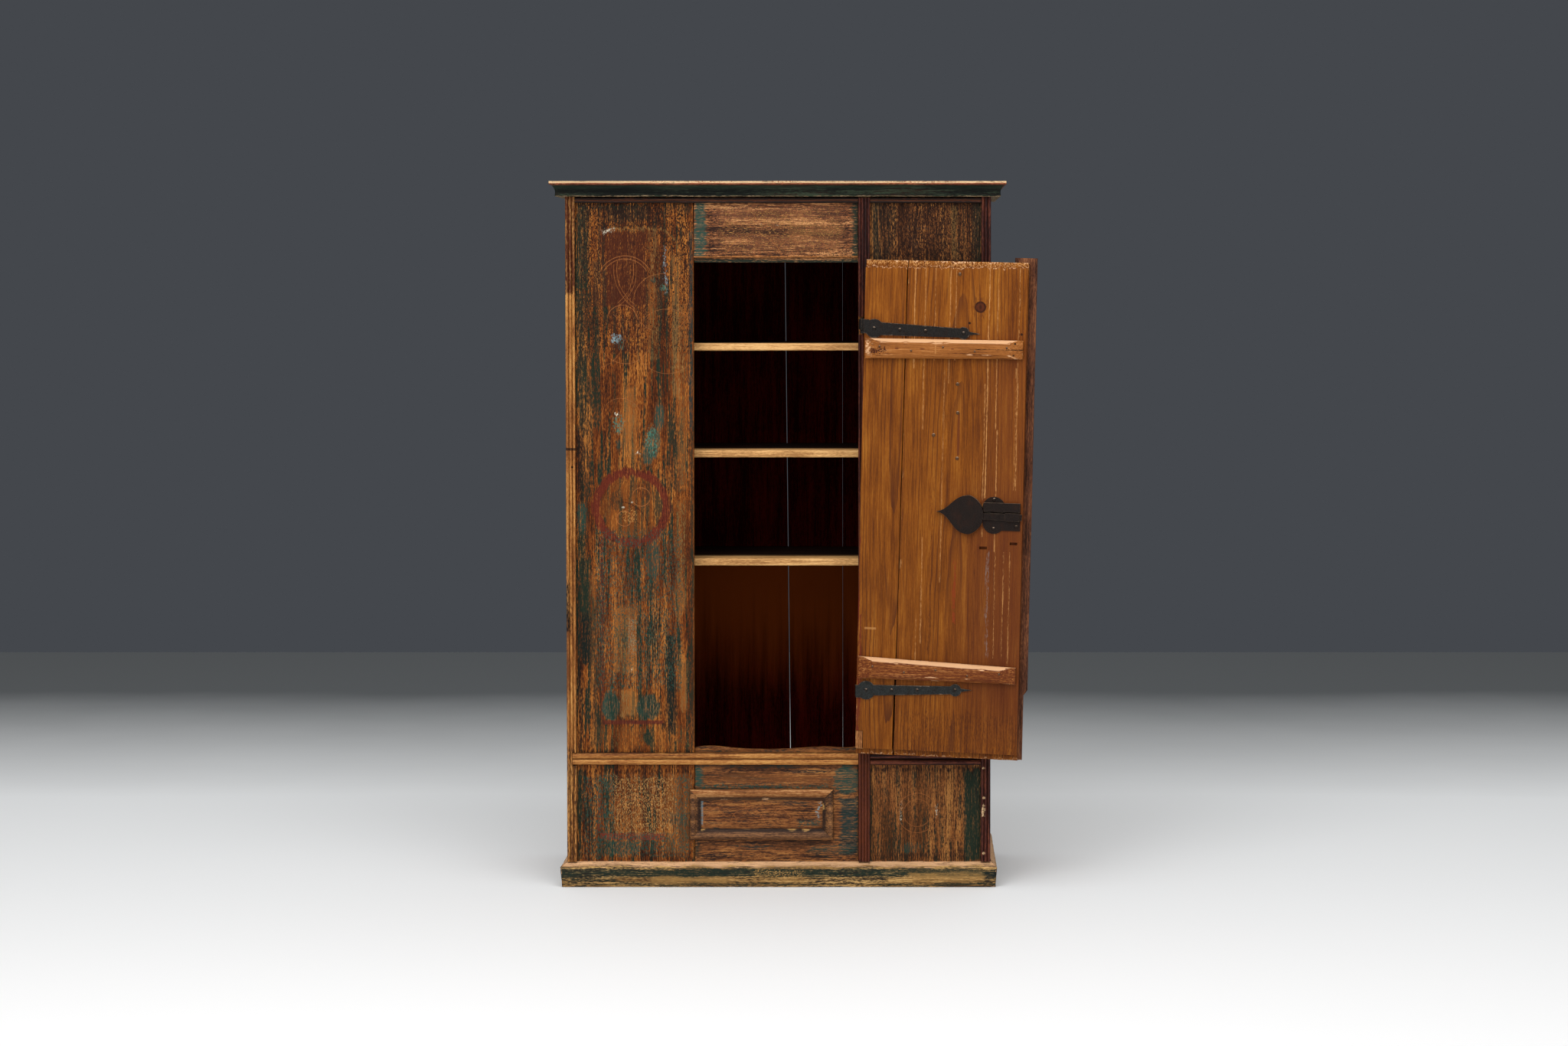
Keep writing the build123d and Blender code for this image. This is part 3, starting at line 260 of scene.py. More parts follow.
# The stain band along the left board's top, 1600 to 1615 mm, is painted cornice shadow with dirt
LEFT_MARKS = read_marks("""
-472 -200 1600 1615 stain .8
-472 -438 1393 1600 green .7
-406 -299 1550 1597 green .6
-438 -328 1579 1597 green .6
-270 -200 1572 1611 grey_green .5
-472 -431 900 1393 green .5
-472 -449 1070 1393 grey_green .6
-435 -413 1070 1464 green .6
-472 -453 900 1070 stain .55
-472 -446 820 900 teal .55
-469 -446 757 838 green .6
-469 -438 619 770 green .75
-465 -433 519 641 black_green .75
-472 -456 312 534 stain .6
-442 -426 462 739 gold .35
-211 -197 1070 1536 blue_green .6
-208 -197 312 1070 grey_green .6
-198 -195 319 1482 honey .8 glaze
-465 -204 1407 1604 stain .4 flecks
-465 -204 1249 1604 stain .36 flecks
-424 -270 1536 1593 stain .5
-431 -267 1357 1536 oxblood .42 glaze
-403 -306 1357 1532 oxblood .7
-396 -299 1246 1364 oxblood .45
-306 -277 1232 1536 gold .3
-252 -224 1142 1482 gold .35
-388 -270 1532 1543 ochre .35
ring -284.6 1482.1 53.7 3.9 ochre .3 worn -277 -224 1482 1539
-281 -263 1482 1536 stain .4
-412 -381 1529 1538 chalk .42 flecks
-267 -260 1385 1496 pale_blue .38 flecks
blob -289 1415.9 7.2 8.9 teal .5
blob -266.7 1398 5.4 10.7 turquoise .5 flecks
blob -377.6 1283.5 16.1 10.7 pale_blue .5 flecks
blob -366.9 1269.1 7.2 12.5 turquoise .4 flecks
-372 -349 1214 1285 stain .4
ring -356.2 1408.7 66.2 .8 cut .8 solid -415 -299 1436 1482
ring -356.2 1408.7 59.1 .8 cut .8 solid -406 -306 1432 1475
ring -277.4 1442.7 98.5 .7 cut .7 solid -388 -335 1343 1464
ring -277.4 1442.7 105.6 .7 cut .65 solid -388 -335 1343 1455
ring -434.9 1442.7 98.5 .7 cut .7 solid -374 -324 1343 1464
ring -434.9 1442.7 105.6 .7 cut .65 solid -374 -320 1343 1455
ring -356.2 1285.2 60.9 .7 cut .65 solid -413 -299 1214 1285
ring -363.3 1324.6 35.8 .9 cut .65 solid -399 -328 1321 1364
ring -270.2 1365.8 68 .7 cut .55 solid -342 -209 1303 1436
ring -259.5 1276.3 75.2 .7 cut .55 solid -342 -209 1196 1357
ring -431.3 1285.2 71.6 .7 cut .55 solid -413 -349 1214 1339
ring -366.9 1097.3 46.5 .7 cut .55 solid -417 -317 1070 1151
blob -277.4 1097.3 12.5 39.4 teal .6
blob -291.7 1038.2 17.9 35.8 teal .6
blob -304.3 1013.2 14.3 28.6 teal .6
blob -295.3 1043.6 14.3 39.4 turquoise .4 flecks
blob -374.1 1084.8 12.5 25.1 turquoise .45 flecks
blob -372.3 1038.2 7.2 12.5 teal .5
-367 -328 999 1169 gold .35
blob -377.6 1109.8 4.3 3.6 chalk .6 flecks
blob -329.3 1016.8 6.4 2.9 chalk .6 flecks
-413 -388 999 1232 stain .4
-263 -217 927 1106 grey_green .45
-238 -211 927 1366 gold .3
-328 -313 1142 1214 stain .4
blob -341.8 889.7 71.6 75.2 honey .3
blob -377.6 905.8 16.1 28.6 grey_green .45
blob -313.2 927.3 17.9 25.1 oxblood .45
blob -349 870 21.5 17.9 gold .3 flecks
ring -343.6 887.9 82.3 10 maroon .78
ring -343.6 887.9 82.3 8.2 maroon .45 glaze
ring -343.6 887.9 88.6 1.6 oxblood .5 glaze
ring -374.1 830.6 71.6 1.4 stain .6 glaze -374 -277 820 909
ring -361.5 927.3 21.5 1.1 stain .5 glaze
ring -313.2 870 23.3 1.1 stain .5 glaze
ring -359.7 862.8 17.9 1.1 cut .7 solid
ring -320.4 913 21.5 1.1 cut .7 solid
blob -362.4 888.8 3.6 2.1 chalk .8 solid
blob -341.8 900.4 2.5 2.1 chalk .6 solid
-419 -408 390 823 oxblood_red .6 glaze
-245 -211 641 927 stain .55 squiggle
-267 -245 641 793 stain .5 squiggle
-242 -213 641 909 ochre .3
blob -293.5 766.2 17.9 50.1 teal .5
blob -298.9 691 16.1 39.4 green .5
ring -350.8 700 21.5 1.1 stain .45 glaze
ring -350.8 700 35.8 .9 stain .35 glaze
-388 -331 498 659 gold .35
-356 -331 541 630 cream .36 flecks
blob -345.4 508.5 4.7 5 cream .6 flecks
-328 -274 594 641 black_green .5
-313 -277 462 594 stain .35
-401 -378 453 498 turquoise .3 flecks
blob -392 422.5 21.5 35.8 teal .7
blob -306 419 28.6 30.4 teal .65
-406 -270 389 453 green .45
-374 -328 397 462 gold .4
-413 -270 380 390 oxblood_red .8 glaze
-265 -238 355 591 black_green .75
-238 -211 408 534 gold .35
blob -306 351 12.5 19.7 green .8
blob -261.3 372.4 14.3 10.7 stain .6
-442 -410 328 677 grey_green .5
-431 -222 462 838 teal .3 flecks
-442 -200 312 380 ochre .2
-472 -200 308 322 stain .5
-474 -460 57 278 green .7
-465 -200 261 278 stain .5
-419 -267 108 125 red .62 glaze
-378 -324 104 133 oxblood .4
-426 -417 125 229 red .45
-410 -367 226 235 chalk .4 flecks
-310 -267 226 235 chalk .4 flecks
-277 -270 125 184 pale_blue .4 flecks
blob -366.9 89.6 46.5 17.9 teal .5
-433 -388 68 113 green .55
-406 -281 131 247 grey_green .25
-460 -204 65 261 teal .42 flecks
-388 -245 122 258 gold .3 flecks
-267 -206 61 265 honey .3
-465 -428 68 261 stain .45
-326 -200 57 82 stain .45
-267 -209 140 176 teal .4
ring -341.8 172 43 .9 cut .65 solid -388 -299 172 215
ring -341.8 172 32.2 .9 cut .6 solid -388 -299 172 215
""")
# The stain band along the frieze's top, 1597 to 1615 mm, is painted shade under the top moulding
FRIEZE_MARKS = read_marks("""
-197 -166 1468 1611 teal .7
170 195 1464 1611 green .7
-197 195 1597 1615 stain .8
-197 192 1470 1475 honey .7 glaze
-197 192 1443 1470 green .75
blob -75.2 1533.1 14.3 7.2 stain .6 flecks
blob -39.4 1546.6 4.3 2.7 chalk .6 flecks
blob -3.6 1546.6 4.3 2.7 chalk .6 flecks
-156 163 1554 1593 rose .35
-138 149 1489 1525 rose .3
23 158 1514 1554 gold .3
-166 170 1471 1593 stain .6 squiggle
-166 170 1471 1593 stain .35 flecks
-138 149 1482 1586 gold .22 flecks
77 170 1536 1593 stain .3
ring -57.3 1455.3 68 .8 cut .6 solid -120 5 1471 1536
ring 59.1 1455.3 68 .8 cut .6 solid -4 124 1471 1536
ring 0 1607.4 68 .8 cut .55 solid -57 59 1536 1597
""")
LOWER_MARKS = read_marks("""
-199 -177 229 281 teal .7
blob 159.3 250.7 32.2 35.8 teal .6
141 188 72 211 blue_green .65
-156 113 265 278 stain .45
-181 131 226 240 teal .45 flecks
-138 122 244 265 honey .3
-199 -184 68 229 green .6
-197 188 97 111 stain .5
-184 -177 143 201 pale_blue .55 glaze
90 97 158 197 pale_blue .5 flecks
41 95 143 154 teal .5 flecks
ring -137.8 145.1 39.4 .8 cut .8 solid -179 -98 145 193
ring -73.4 145.1 39.4 .8 cut .8 solid -113 -34 145 193
ring -8.9 145.1 39.4 .8 cut .8 solid -48 30 145 193
ring -105.6 198.8 39.4 .8 cut .7 solid -145 -66 154 199
ring -41.1 198.8 39.4 .8 cut .7 solid -81 -2 154 199
ring 23.3 145.1 39.4 .8 cut .6 solid -16 70 145 193
-179 34 145 199 oxblood .35
34 88 149 193 stain .4
blob 121.7 82.5 60.9 16.1 teal .4
-199 186 57 82 stain .45
""")
# Stain at the top, 1597 to 1616 mm, and the patch from 355 mm up are painted cornice shade
RIGHT_MARKS = read_marks("""
217 476 1597 1616 stain .85
217 238 1178 1604 green .7
449 478 927 1604 green .7
399 421 1464 1593 ochre .5
428 442 1455 1536 gold .4
277 354 1536 1541 chalk .4 flecks
blob 315 1503.6 16.1 21.5 pale_blue .3 flecks
238 277 784 1604 grey_green .45
277 392 1464 1593 oxblood .45
354 399 534 1536 grey_green .4
218 476 355 1616 stain .5
238 464 355 1604 stain .38 flecks
431 476 57 279 green .8
283 288 147 197 chalk .35 flecks
367 372 158 190 chalk .4 flecks
202 220 57 283 green .75
218 476 269 283 stain .6
218 439 57 82 stain .5
218 431 57 278 grey_green .3
224 428 68 272 stain .4 squiggle
ring 324 172 46.5 .8 cut .6 solid
ring 324 172 32.2 .8 cut .55 solid
blob 309.7 89.6 25.1 14.3 teal .4
""")
# Pale lines along the door's top lip, its steps and its foot: worn edges, and painted highlight
DOOR_RIM_WEAR_AND_HIGHLIGHT = read_marks("""
-200 200 1465.4 1470 pink_cream .75
-200 -100 1453.6 1455.6 pink_cream .6
-100 0 1452.2 1454.2 pink_cream .6
0 94 1450.6 1452.6 pink_cream .6
94 190 1448.8 1450.8 pink_cream .6
-200 200 1455 1466 pale_streak .5 flecks
-200 200 318 321 pink_cream .5
""")
DOOR_MARKS = DOOR_RIM_WEAR_AND_HIGHLIGHT + read_marks("""
blob -85.5 1362.4 13.1 13.1 knot .95 solid
blob -85.5 1362.4 8.9 8.9 resin .45 glaze
blob -85.5 1362.4 3.6 6.3 black .5 glaze
ring -85.5 1362.4 11.6 1.6 black .55 solid
blob -85.6 1360.1 21.5 32.2 grain_dark .3 glaze
blob -61.5 1325.1 2.9 2.9 black .9 solid
blob -182.2 1301.8 2.9 2.9 black .9 solid
-257.5 -106.9 344 1295 resin .4 shade
-260.5 -47.6 431 942 resin .4 shade
-43.4 -34.5 634 779 red_stain .45
-44.1 -38.8 1020 1117 resin .8 solid
65.1 68.3 1218 1458 pale_streak .6 glaze
40.9 43.8 1077 1458 pale_streak .55 glaze
17.7 20.5 1237 1459 pale_streak .5 glaze
-16.9 -14 1185 1459 pale_streak .55 glaze
-29.9 -27.4 1239 1460 pale_streak .5 glaze
-107.9 -104.4 923 1461 pale_streak .6 glaze
-127.8 -125 1082 1462 pale_streak .55 glaze
-177.3 -174.5 943 1463 pale_streak .5 glaze
-7.7 -3.4 725 1220 pale_streak .35 glaze
-102.1 -99.3 834 1187 pale_streak .5 glaze
-132.2 -129.3 800 1082 pale_streak .55 glaze
-177.2 -170.1 943 1225 pale_streak .3 glaze
35.6 38.8 581 829 pale_streak .5 glaze
46.3 49.2 475 652 pale_streak .5 glaze
-120.8 -111.9 552 799 blue_grey .35
-134.6 -131.8 553 800 pale_streak .5 glaze
-154.2 -151.3 554 801 pale_streak .5 glaze
-168.6 -165.7 537 801 pale_streak .5 glaze
12.9 20.1 370 971 grain_dark .35
-87.3 -80.2 551 1081 grain_dark .3
-17.3 -6.6 831 1309 grain_dark .25
-214.5 77.7 317 426 grain_dark .35
""")
HINGE_BOARD_MARKS = DOOR_RIM_WEAR_AND_HIGHLIGHT + read_marks("""
140.9 167.9 610 615 pale_streak .6 solid
166.6 182.3 330 370 new_wood .6 solid
182.9 189.2 371 824 maroon .8
174.5 183.5 371 646 maroon .75
185.2 195.1 317 610 pale_streak .6
""")
# The cream line at 1610 to 1614.6 mm is cream paint and a painted highlight on the lit lower fillet
# The green band at 1630 to 1639 mm is green paint and a painted sheen on the upper cove
CORNICE_MARKS = read_marks("""
-1200 1200 1610 1614.6 cream .4 glaze
-1200 1200 1638.5 1646 rose .9 glaze
-1200 1200 1638.8 1641.6 oxblood_red .8 glaze
-1200 1200 1642.9 1655 cream .97 glaze
-1200 1200 1630 1639 green .6
-300 420 1644 1655 rose .4 flecks
""")
# The black band along the plinth's foot, -2 to 2 mm, is painted shade where it meets the floor
PLINTH_MARKS = read_marks("""
-1200 1200 22 47 green .8
-1200 1200 2 12 green .6
-1200 1200 49.5 62 pink_cream .9
-1200 -380 10 48 green .6
300 480 14 40 ochre .5
-300 -120 8 26 ochre .5
-60 60 20 42 ochre .35 flecks
60 260 8 30 black_green .5
480 1200 10 45 black_green .7
-1200 1200 -2 2 black .5
""")
STILE_MARKS = read_marks("""
-500 -468 1385 1700 oxblood .7
-500 -468 1022 1028 black .8 solid
blob -480 983.2 2.6 2.6 black 1 solid
-500 -484 596 712 black .7
-500 -468 60 330 stain .45
""")
DARK_MOULDING_MARKS = read_marks("""
180 216 60 900 resin .5
blob 479 279 3 2.5 cream .9 solid
blob 479 209 3 3 cream .9 solid
474 480 166 193 cream .7 flecks
blob 479 79 3 3 cream .9 solid
186 214 312 620 honey .35
190 206 640 1400 resin .4
""")
TOP_MOULDING_MARKS = read_marks("""
-1200 1200 1580 1612 grime .8 glaze
-1200 1200 1602.5 1604.5 rose .75 solid
-1200 1200 1597 1599 black .5 solid
""")
BATTEN_MARKS = read_marks("""
-400 400 480 560 resin .6
-144.6 -78.9 1265 1267 black .85 glaze
-194.3 -137.6 1265 1267 black .9 glaze
-80.6 -37.8 1265 1267 stain .6 glaze
126.8 166.4 1252 1264 knot .7 flecks
164.8 181 1247 1279 pink_cream .5
blob -169.2 1280.1 2.5 2.5 black .9 solid
blob -166.3 1252.7 2.3 1.8 black .9 solid
blob 103.6 1263.4 4.7 2.1 resin .8 solid
blob 44.4 1263.2 6.1 1.6 resin .8 solid
blob -25.3 1265 3.6 1.6 resin .7 solid
12.2 15.8 1252 1283 pale_streak .5 glaze
-160.7 -158 1245 1284 resin .55 glaze
36.9 126.6 457 464 knot .4 flecks
-141.4 19 467 469 resin .6 glaze
blob -66.7 468.8 3.6 2.5 black .8 solid
""")


# ---- Shaders ----------------------------------------------------------------------------------
SCALARS = {"LENGTH", "DISTANCE", "DOT_PRODUCT"}


class Nodes:
    """A tree of shader nodes while it is made."""

    def __init__(self, tree):
        self.tree = tree
        tree.nodes.clear()

    def add(self, kind, sockets=None, **settings):
        """A node of this kind with its settings made, and its sockets set or linked."""
        node = self.tree.nodes.new("ShaderNode" + kind)
        for name, value in settings.items():
            if name == "stops":
                fill_ramp(node.color_ramp, value)
            else:
                setattr(node, name, value)
        for socket, value in (sockets or {}).items():
            if isinstance(value, bpy.types.Node):
                value = result_of(value)
            if isinstance(value, bpy.types.NodeSocket):
                self.tree.links.new(value, node.inputs[socket])
            else:
                node.inputs[socket].default_value = value
        return node


class Finish(Nodes):
    """A material while it is made, with places on the piece in millimetres."""

    def __init__(self, name):
        self.material = bpy.data.materials.new(name)
        self.material.use_nodes = True
        super().__init__(self.material.node_tree)
        origin = self.add("TexCoord")
        self.normal = origin.outputs["Normal"]
        self.place = self.add("VectorMath", {0: origin.outputs["Object"], "Scale": 1 / MM},
                              operation="SCALE")

    def finished(self, shader):
        """Joins the shader to the material's output."""
        self.add("OutputMaterial", {"Surface": shader})
        return self.material


def result_of(node):
    """The output that holds a node's result."""
    if node.bl_idname == "ShaderNodeVectorMath" and node.operation in SCALARS:
        return node.outputs["Value"]
    if node.bl_idname == "ShaderNodeMix":
        return node.outputs[2]
    return node.outputs[0]


def fill_ramp(ramp, stops):
    """Sets a colour ramp's stops, given as place and tone: a hex code or a linear colour."""
    while len(ramp.elements) < len(stops):
        ramp.elements.new(1.0)
    for element, (place, tone) in zip(ramp.elements, stops.items()):
        element.position = place
        element.color = (*(linear(tone) if isinstance(tone, str) else tone), 1)


def streaks(finish, across, along, upright=True, shift=0.0, detail=3.0):
    """Noise drawn out along the grain; marks are this many millimetres across and along."""
    wide, long = 1.0 / across, 1.0 / along
    scale = (wide, wide, long) if upright else (long, wide, wide)
    drawn = finish.add("Mapping", {"Vector": finish.place, "Scale": scale,
                                   "Location": (shift, shift * 0.7, shift * 1.3)})
    return finish.add("TexNoise", {"Vector": drawn, "Scale": 1.0, "Detail": detail,
                                   "Roughness": 0.6})


def sharpened(finish, value, low, high, to_low=0.0, to_high=1.0):
    """Noise turned into patches between two levels."""
    return finish.add("MapRange", {"Value": value, "From Min": low, "From Max": high,
                                   "To Min": to_low, "To Max": to_high},
                      interpolation_type="SMOOTHSTEP")


def moved(finish, place, across, along, upright, reach):
    """Places pushed about along the grain, so that painted edges look flaked."""
    wide, long = 1.0 / across, 1.0 / along
    drawn = finish.add("VectorMath", {0: place, 1: (wide, wide, long) if upright
                                      else (long, wide, wide)}, operation="MULTIPLY")
    push = finish.add("TexNoise", {"Vector": drawn, "Scale": 1.0, "Detail": 3.0})
    push = finish.add("VectorMath", {0: push.outputs["Color"], 1: (0.5, 0.5, 0.5)},
                      operation="SUBTRACT")
    far = reach * along / across * 0.35
    push = finish.add("VectorMath", {0: push, 1: (reach, 0, far) if upright
                                     else (far, 0, reach)}, operation="MULTIPLY")
    return finish.add("VectorMath", {0: place, 1: push}, operation="ADD")


def patch_gap(finish, place, x0, x1, z0, z1):
    """Distance outside a patch, in millimetres; negative inside it."""
    middle = ((x0 + x1) / 2, 0, (z0 + z1) / 2)
    half = ((x1 - x0) / 2, 0, (z1 - z0) / 2)
    off = finish.add("VectorMath", {0: place, 1: middle}, operation="SUBTRACT")
    off = finish.add("VectorMath", {0: off}, operation="ABSOLUTE")
    off = finish.add("VectorMath", {0: off, 1: half}, operation="SUBTRACT")
    axes = finish.add("SeparateXYZ", {0: off})
    return finish.add("Math", {0: axes.outputs["X"], 1: axes.outputs["Z"]}, operation="MAXIMUM")


def blob_gap(finish, place, x, z, across, high):
    """Distance outside an ellipse."""
    off = finish.add("VectorMath", {0: place, 1: (x, 0, z)}, operation="SUBTRACT")
    off = finish.add("VectorMath", {0: off, 1: (1 / across, 0, 1 / high)}, operation="MULTIPLY")
    size = finish.add("VectorMath", {0: off}, operation="LENGTH")
    least = min(across, high)
    return finish.add("Math", {0: size, 1: least, 2: -least}, operation="MULTIPLY_ADD")


def ring_gap(finish, place, x, z, radius, half, *seen_in):
    """Distance outside a ring, or outside the patch that it is seen in."""
    far = finish.add("VectorMath", {0: place, 1: (x, 0, z)}, operation="DISTANCE")
    off = finish.add("Math", {0: far, 1: radius}, operation="SUBTRACT")
    off = finish.add("Math", {0: off}, operation="ABSOLUTE")
    gap = finish.add("Math", {0: off, 1: half}, operation="SUBTRACT")
    if seen_in:
        limit = patch_gap(finish, place, *seen_in)
        gap = finish.add("Math", {0: gap, 1: limit}, operation="MAXIMUM")
    return gap


GAPS = {"patch": patch_gap, "blob": blob_gap, "ring": ring_gap}
SOFT_EDGES = {"solid": 0.6, "glaze": 1.5, "shade": 40.0}  # mm over which paint starts
RAGGED_PATCH, RAGGED_CURVE = 7.0, 3.0  # the same for worn paint, flecks and squiggles
RAGGED_REACH = 25.0  # mm past its numbers that a mark may show


def film(finish, share, fine, soft=0.5):
    """Where a worn film of paint still holds: it is left on this share of the finest marks."""
    left = finish.add("Math", {0: share, 1: 1.0 + soft, 2: -soft}, operation="MULTIPLY_ADD")
    left = finish.add("Math", {0: left, 1: fine}, operation="SUBTRACT")
    return finish.add("MapRange", {"Value": left, "From Min": -soft, "From Max": 0.0})


def ornament(finish, ground, marks, upright, wood_grain):
    """Lays painted marks over the ground colour. Returns the colour and the depth of cut lines."""
    flat = finish.add("VectorMath", {0: finish.place, 1: (1, 0, 1)}, operation="MULTIPLY")
    steady = moved(finish, flat, 40.0, 80.0, upright, 3.0)
    ragged = moved(finish, flat, 11.0, 60.0, upright, 16.0)
    fleck = sharpened(finish, streaks(finish, 1.8, 4.5, upright, 23.0, 2.0), 0.3, 0.7)
    curls = streaks(finish, 6.0, 6.0, upright, 37.0, 1.0)
    curls = finish.add("Math", {0: curls, 1: 0.5}, operation="SUBTRACT")
    curls = finish.add("Math", {0: curls}, operation="ABSOLUTE")
    curls = sharpened(finish, curls, 0.03, 0.012)
    depth = None
    for form, a, b, c, d, name, strength, lies, *seen_in in marks:
        place = ragged if lies in ("worn", "flecks") else steady
        gap = GAPS[form](finish, place, a, b, c, d, *seen_in)
        widest = SOFT_EDGES.get(lies, RAGGED_PATCH if form == "patch" else RAGGED_CURVE)
        soft = min(widest, 0.35 * min(abs(b - a), abs(d - c)) + 1.0) if form == "patch" else widest
        share = finish.add("MapRange", {"Value": gap, "From Min": soft, "From Max": -soft,
                                        "To Min": 0.0, "To Max": strength})
        if lies in ("worn", "glaze"):
            share = film(finish, share, wood_grain, 0.8)
        elif lies == "flecks":
            share = film(finish, share, fleck, 0.3)
        elif lies == "squiggle":
            share = finish.add("Math", {0: share, 1: curls}, operation="MULTIPLY")
        ground = finish.add("Mix", {0: share, 6: ground, 7: colour(name)}, data_type="RGBA")
        if name == "cut":
            depth = share if depth is None else finish.add(
                "Math", {0: depth, 1: share}, operation="MAXIMUM")
    return ground, depth


def summed(finish, parts, offset):
    """Adds noises, each with its weight."""
    total = offset
    for value, weight in parts:
        total = finish.add("Math", {0: value, 1: weight, 2: total}, operation="MULTIPLY_ADD")
    return total


# Patterns of old pine, in millimetres across and along the grain. Fine streaks and specks are
# drawn coarser than real pores of a third of a millimetre, so that they show.
BROAD, FINE, BLOT, SPECK = (17.0, 380.0), (2.4, 60.0), (60.0, 150.0), (2.1, 9.0)
GLAZE = (9.0, 160.0)


def wood(name, stops, marks=(), upright=True, inner=None, groove=None, lines=0.0, roughness=0.55,
         seed=0.0, chips="bare", fade=None, inner_stops=INNER_SHADE_STOPS, dirt=(0.0, 0.0), shine=0.2,
         heart=(0.0, 90.0, 700.0), glaze=None, upper=None, speckle=0.95):
    """Planed and hand-painted old pine.

    Broad and fine streaks along the grain give it its uneven varnish, blots its age, and specks
    the grain that shows through worn paint. Dirt is the least and greatest share of dark specks.
    Worn edges show the chips colour. Inner is the axis and the two places in mm between which
    paint gives way to bare wood on the inside; near-black inner tones there are painted shade.
    Groove is the two depths in mm between which a moulding turns dark. Lines is the strength of
    its growth rings. Fade is two heights in mm between which it darkens, and how much. Glaze is a
    paint left in its pores, and upper a painted highlight on what faces up, each a colour with its
    strength. Speckle is how much the specks tell in its tone.
    """
    finish = Finish(name)
    broad = streaks(finish, *BROAD, upright, seed)
    fine = streaks(finish, *FINE, upright, seed + 3)
    blot = streaks(finish, *BLOT, upright, seed + 5, 2.0)
    speck = streaks(finish, *SPECK, upright, seed + 7)
    grain = summed(finish, [(speck, 0.5), (fine, 0.5)], 0.0)
    grain = sharpened(finish, grain, 0.34, 0.66)
    parts = [(broad, 1.1), (fine, 1.1), (blot, 0.6), (speck, speckle)]
    tone = summed(finish, parts, 0.5 - 0.5 * sum(weight for _, weight in parts))
    ground = finish.add("ValToRGB", {0: tone}, stops=stops)
    if glaze:
        share = streaks(finish, *GLAZE, upright, seed + 11, 2.0)
        share = sharpened(finish, share, 0.46, 0.62, 0.0, glaze[1])
        share = film(finish, share, grain)
        ground = finish.add("Mix", {0: share, 6: ground, 7: colour(glaze[0])}, data_type="RGBA")
    if lines:
        ground = growth_rings(finish, ground, upright, lines, heart)
    ground, cut = ornament(finish, ground, marks, upright, grain)
    if dirt[1]:
        share = summed(finish, [(broad, 0.5), (blot, 0.5)], 0.0)
        share = finish.add("MapRange", {"Value": share, "From Min": 0.4, "From Max": 0.6,
                                        "To Min": dirt[0], "To Max": dirt[1]})
        share = film(finish, share, grain)
        share = finish.add("Math", {0: share, 1: 0.75}, operation="MULTIPLY")
        ground = finish.add("Mix", {0: share, 6: ground, 7: colour("stain")}, data_type="RGBA")
    if dirt[1] and marks:
        shade = sharpened(finish, tone, 0.25, 0.8, 0.72, 1.0)
        ground = finish.add("VectorMath", {0: ground, "Scale": shade}, operation="SCALE")
    axes = finish.add("SeparateXYZ", {0: finish.place})
    if groove:
        share = sharpened(finish, axes.outputs["Y"], *groove, 0.0, 0.85)
        ground = finish.add("Mix", {0: share, 6: ground, 7: colour("grime")}, data_type="RGBA")
    # Painted highlight: faces that point up are mixed towards a pale colour
    if upper:
        level = finish.add("SeparateXYZ", {0: finish.normal})
        share = sharpened(finish, level.outputs["Z"], 0.35, 0.6, 0.0, upper[1])
        ground = finish.add("Mix", {0: share, 6: ground, 7: colour(upper[0])}, data_type="RGBA")
    if fade:
        dark = finish.add("MapRange", {"Value": axes.outputs["Z"], "From Min": fade[0],
                                       "From Max": fade[1], "To Min": 0.0, "To Max": fade[2]})
        ground = finish.add("Mix", {0: dark, 6: ground, 7: colour("stain")}, data_type="RGBA")
    worn = finish.add("Attribute", attribute_name="wear")
    worn = finish.add("Math", {0: worn.outputs["Fac"], 1: speck, 2: -0.42},
                      operation="MULTIPLY_ADD")
    worn = sharpened(finish, worn, 0.0, 0.5, 0.0, 0.75)
    ground = finish.add("Mix", {0: worn, 6: ground, 7: colour(chips)}, data_type="RGBA")
    # Inside faces take the inner tones; near-black ones are painted shade
    if inner:
        axis, start, end = inner
        away = finish.add("Math", {0: axes.outputs[axis]}, operation="ABSOLUTE")
        inside = sharpened(finish, away, start, end)
        bare = finish.add("ValToRGB", {0: tone}, stops=inner_stops)
        if inner_stops is DEEP_SHADE_STOPS:
            bare = shade_and_light_inside(finish, bare, axes, broad)
        ground = finish.add("Mix", {0: inside, 6: ground, 7: bare}, data_type="RGBA")
    height = summed(finish, [(fine, 0.5), (speck, 0.5), (broad, 0.4)], 0.0)
    if cut is not None:
        height = finish.add("Math", {0: cut, 1: -1.2, 2: height}, operation="MULTIPLY_ADD")
    bump = finish.add("Bump", {"Height": height, "Strength": 0.75, "Distance": 0.0011})
    rough = sharpened(finish, tone, 0.2, 0.8, roughness + 0.12, roughness - 0.08)
    shader = finish.add("BsdfPrincipled", {"Base Color": ground, "Roughness": rough,
                                           "Normal": bump, "Specular IOR Level": shine})
    return finish.finished(shader)


def shade_and_light_inside(finish, bare, axes, broad):
    """Painted shade on planks, warmer painted light just under the lowest shelf, 748 to 764 mm."""
    height = finish.add("Math", {0: broad, 1: 240.0, 2: axes.outputs["Z"]},
                        operation="MULTIPLY_ADD")
    under = sharpened(finish, height, 470.0, 800.0)
    above = sharpened(finish, axes.outputs["Z"], 764.0, 748.0)
    warm = finish.add("Math", {0: under, 1: above}, operation="MULTIPLY")
    return finish.add("Mix", {0: warm, 6: bare, 7: colour("warm_dark")}, data_type="RGBA")


def reaches(mark, low, high):
    """True if a mark, with its ragged edge, touches the heights from low to high."""
    form, a, b, c, d, *rest = mark
    spans = {"patch": (c, d), "blob": (b - d, b + d), "ring": (b - c - d, b + c + d)}
    foot, head = spans[form]
    if len(rest) > 3:
        foot, head = rest[5], rest[6]
    return foot - RAGGED_REACH < high and head + RAGGED_REACH > low


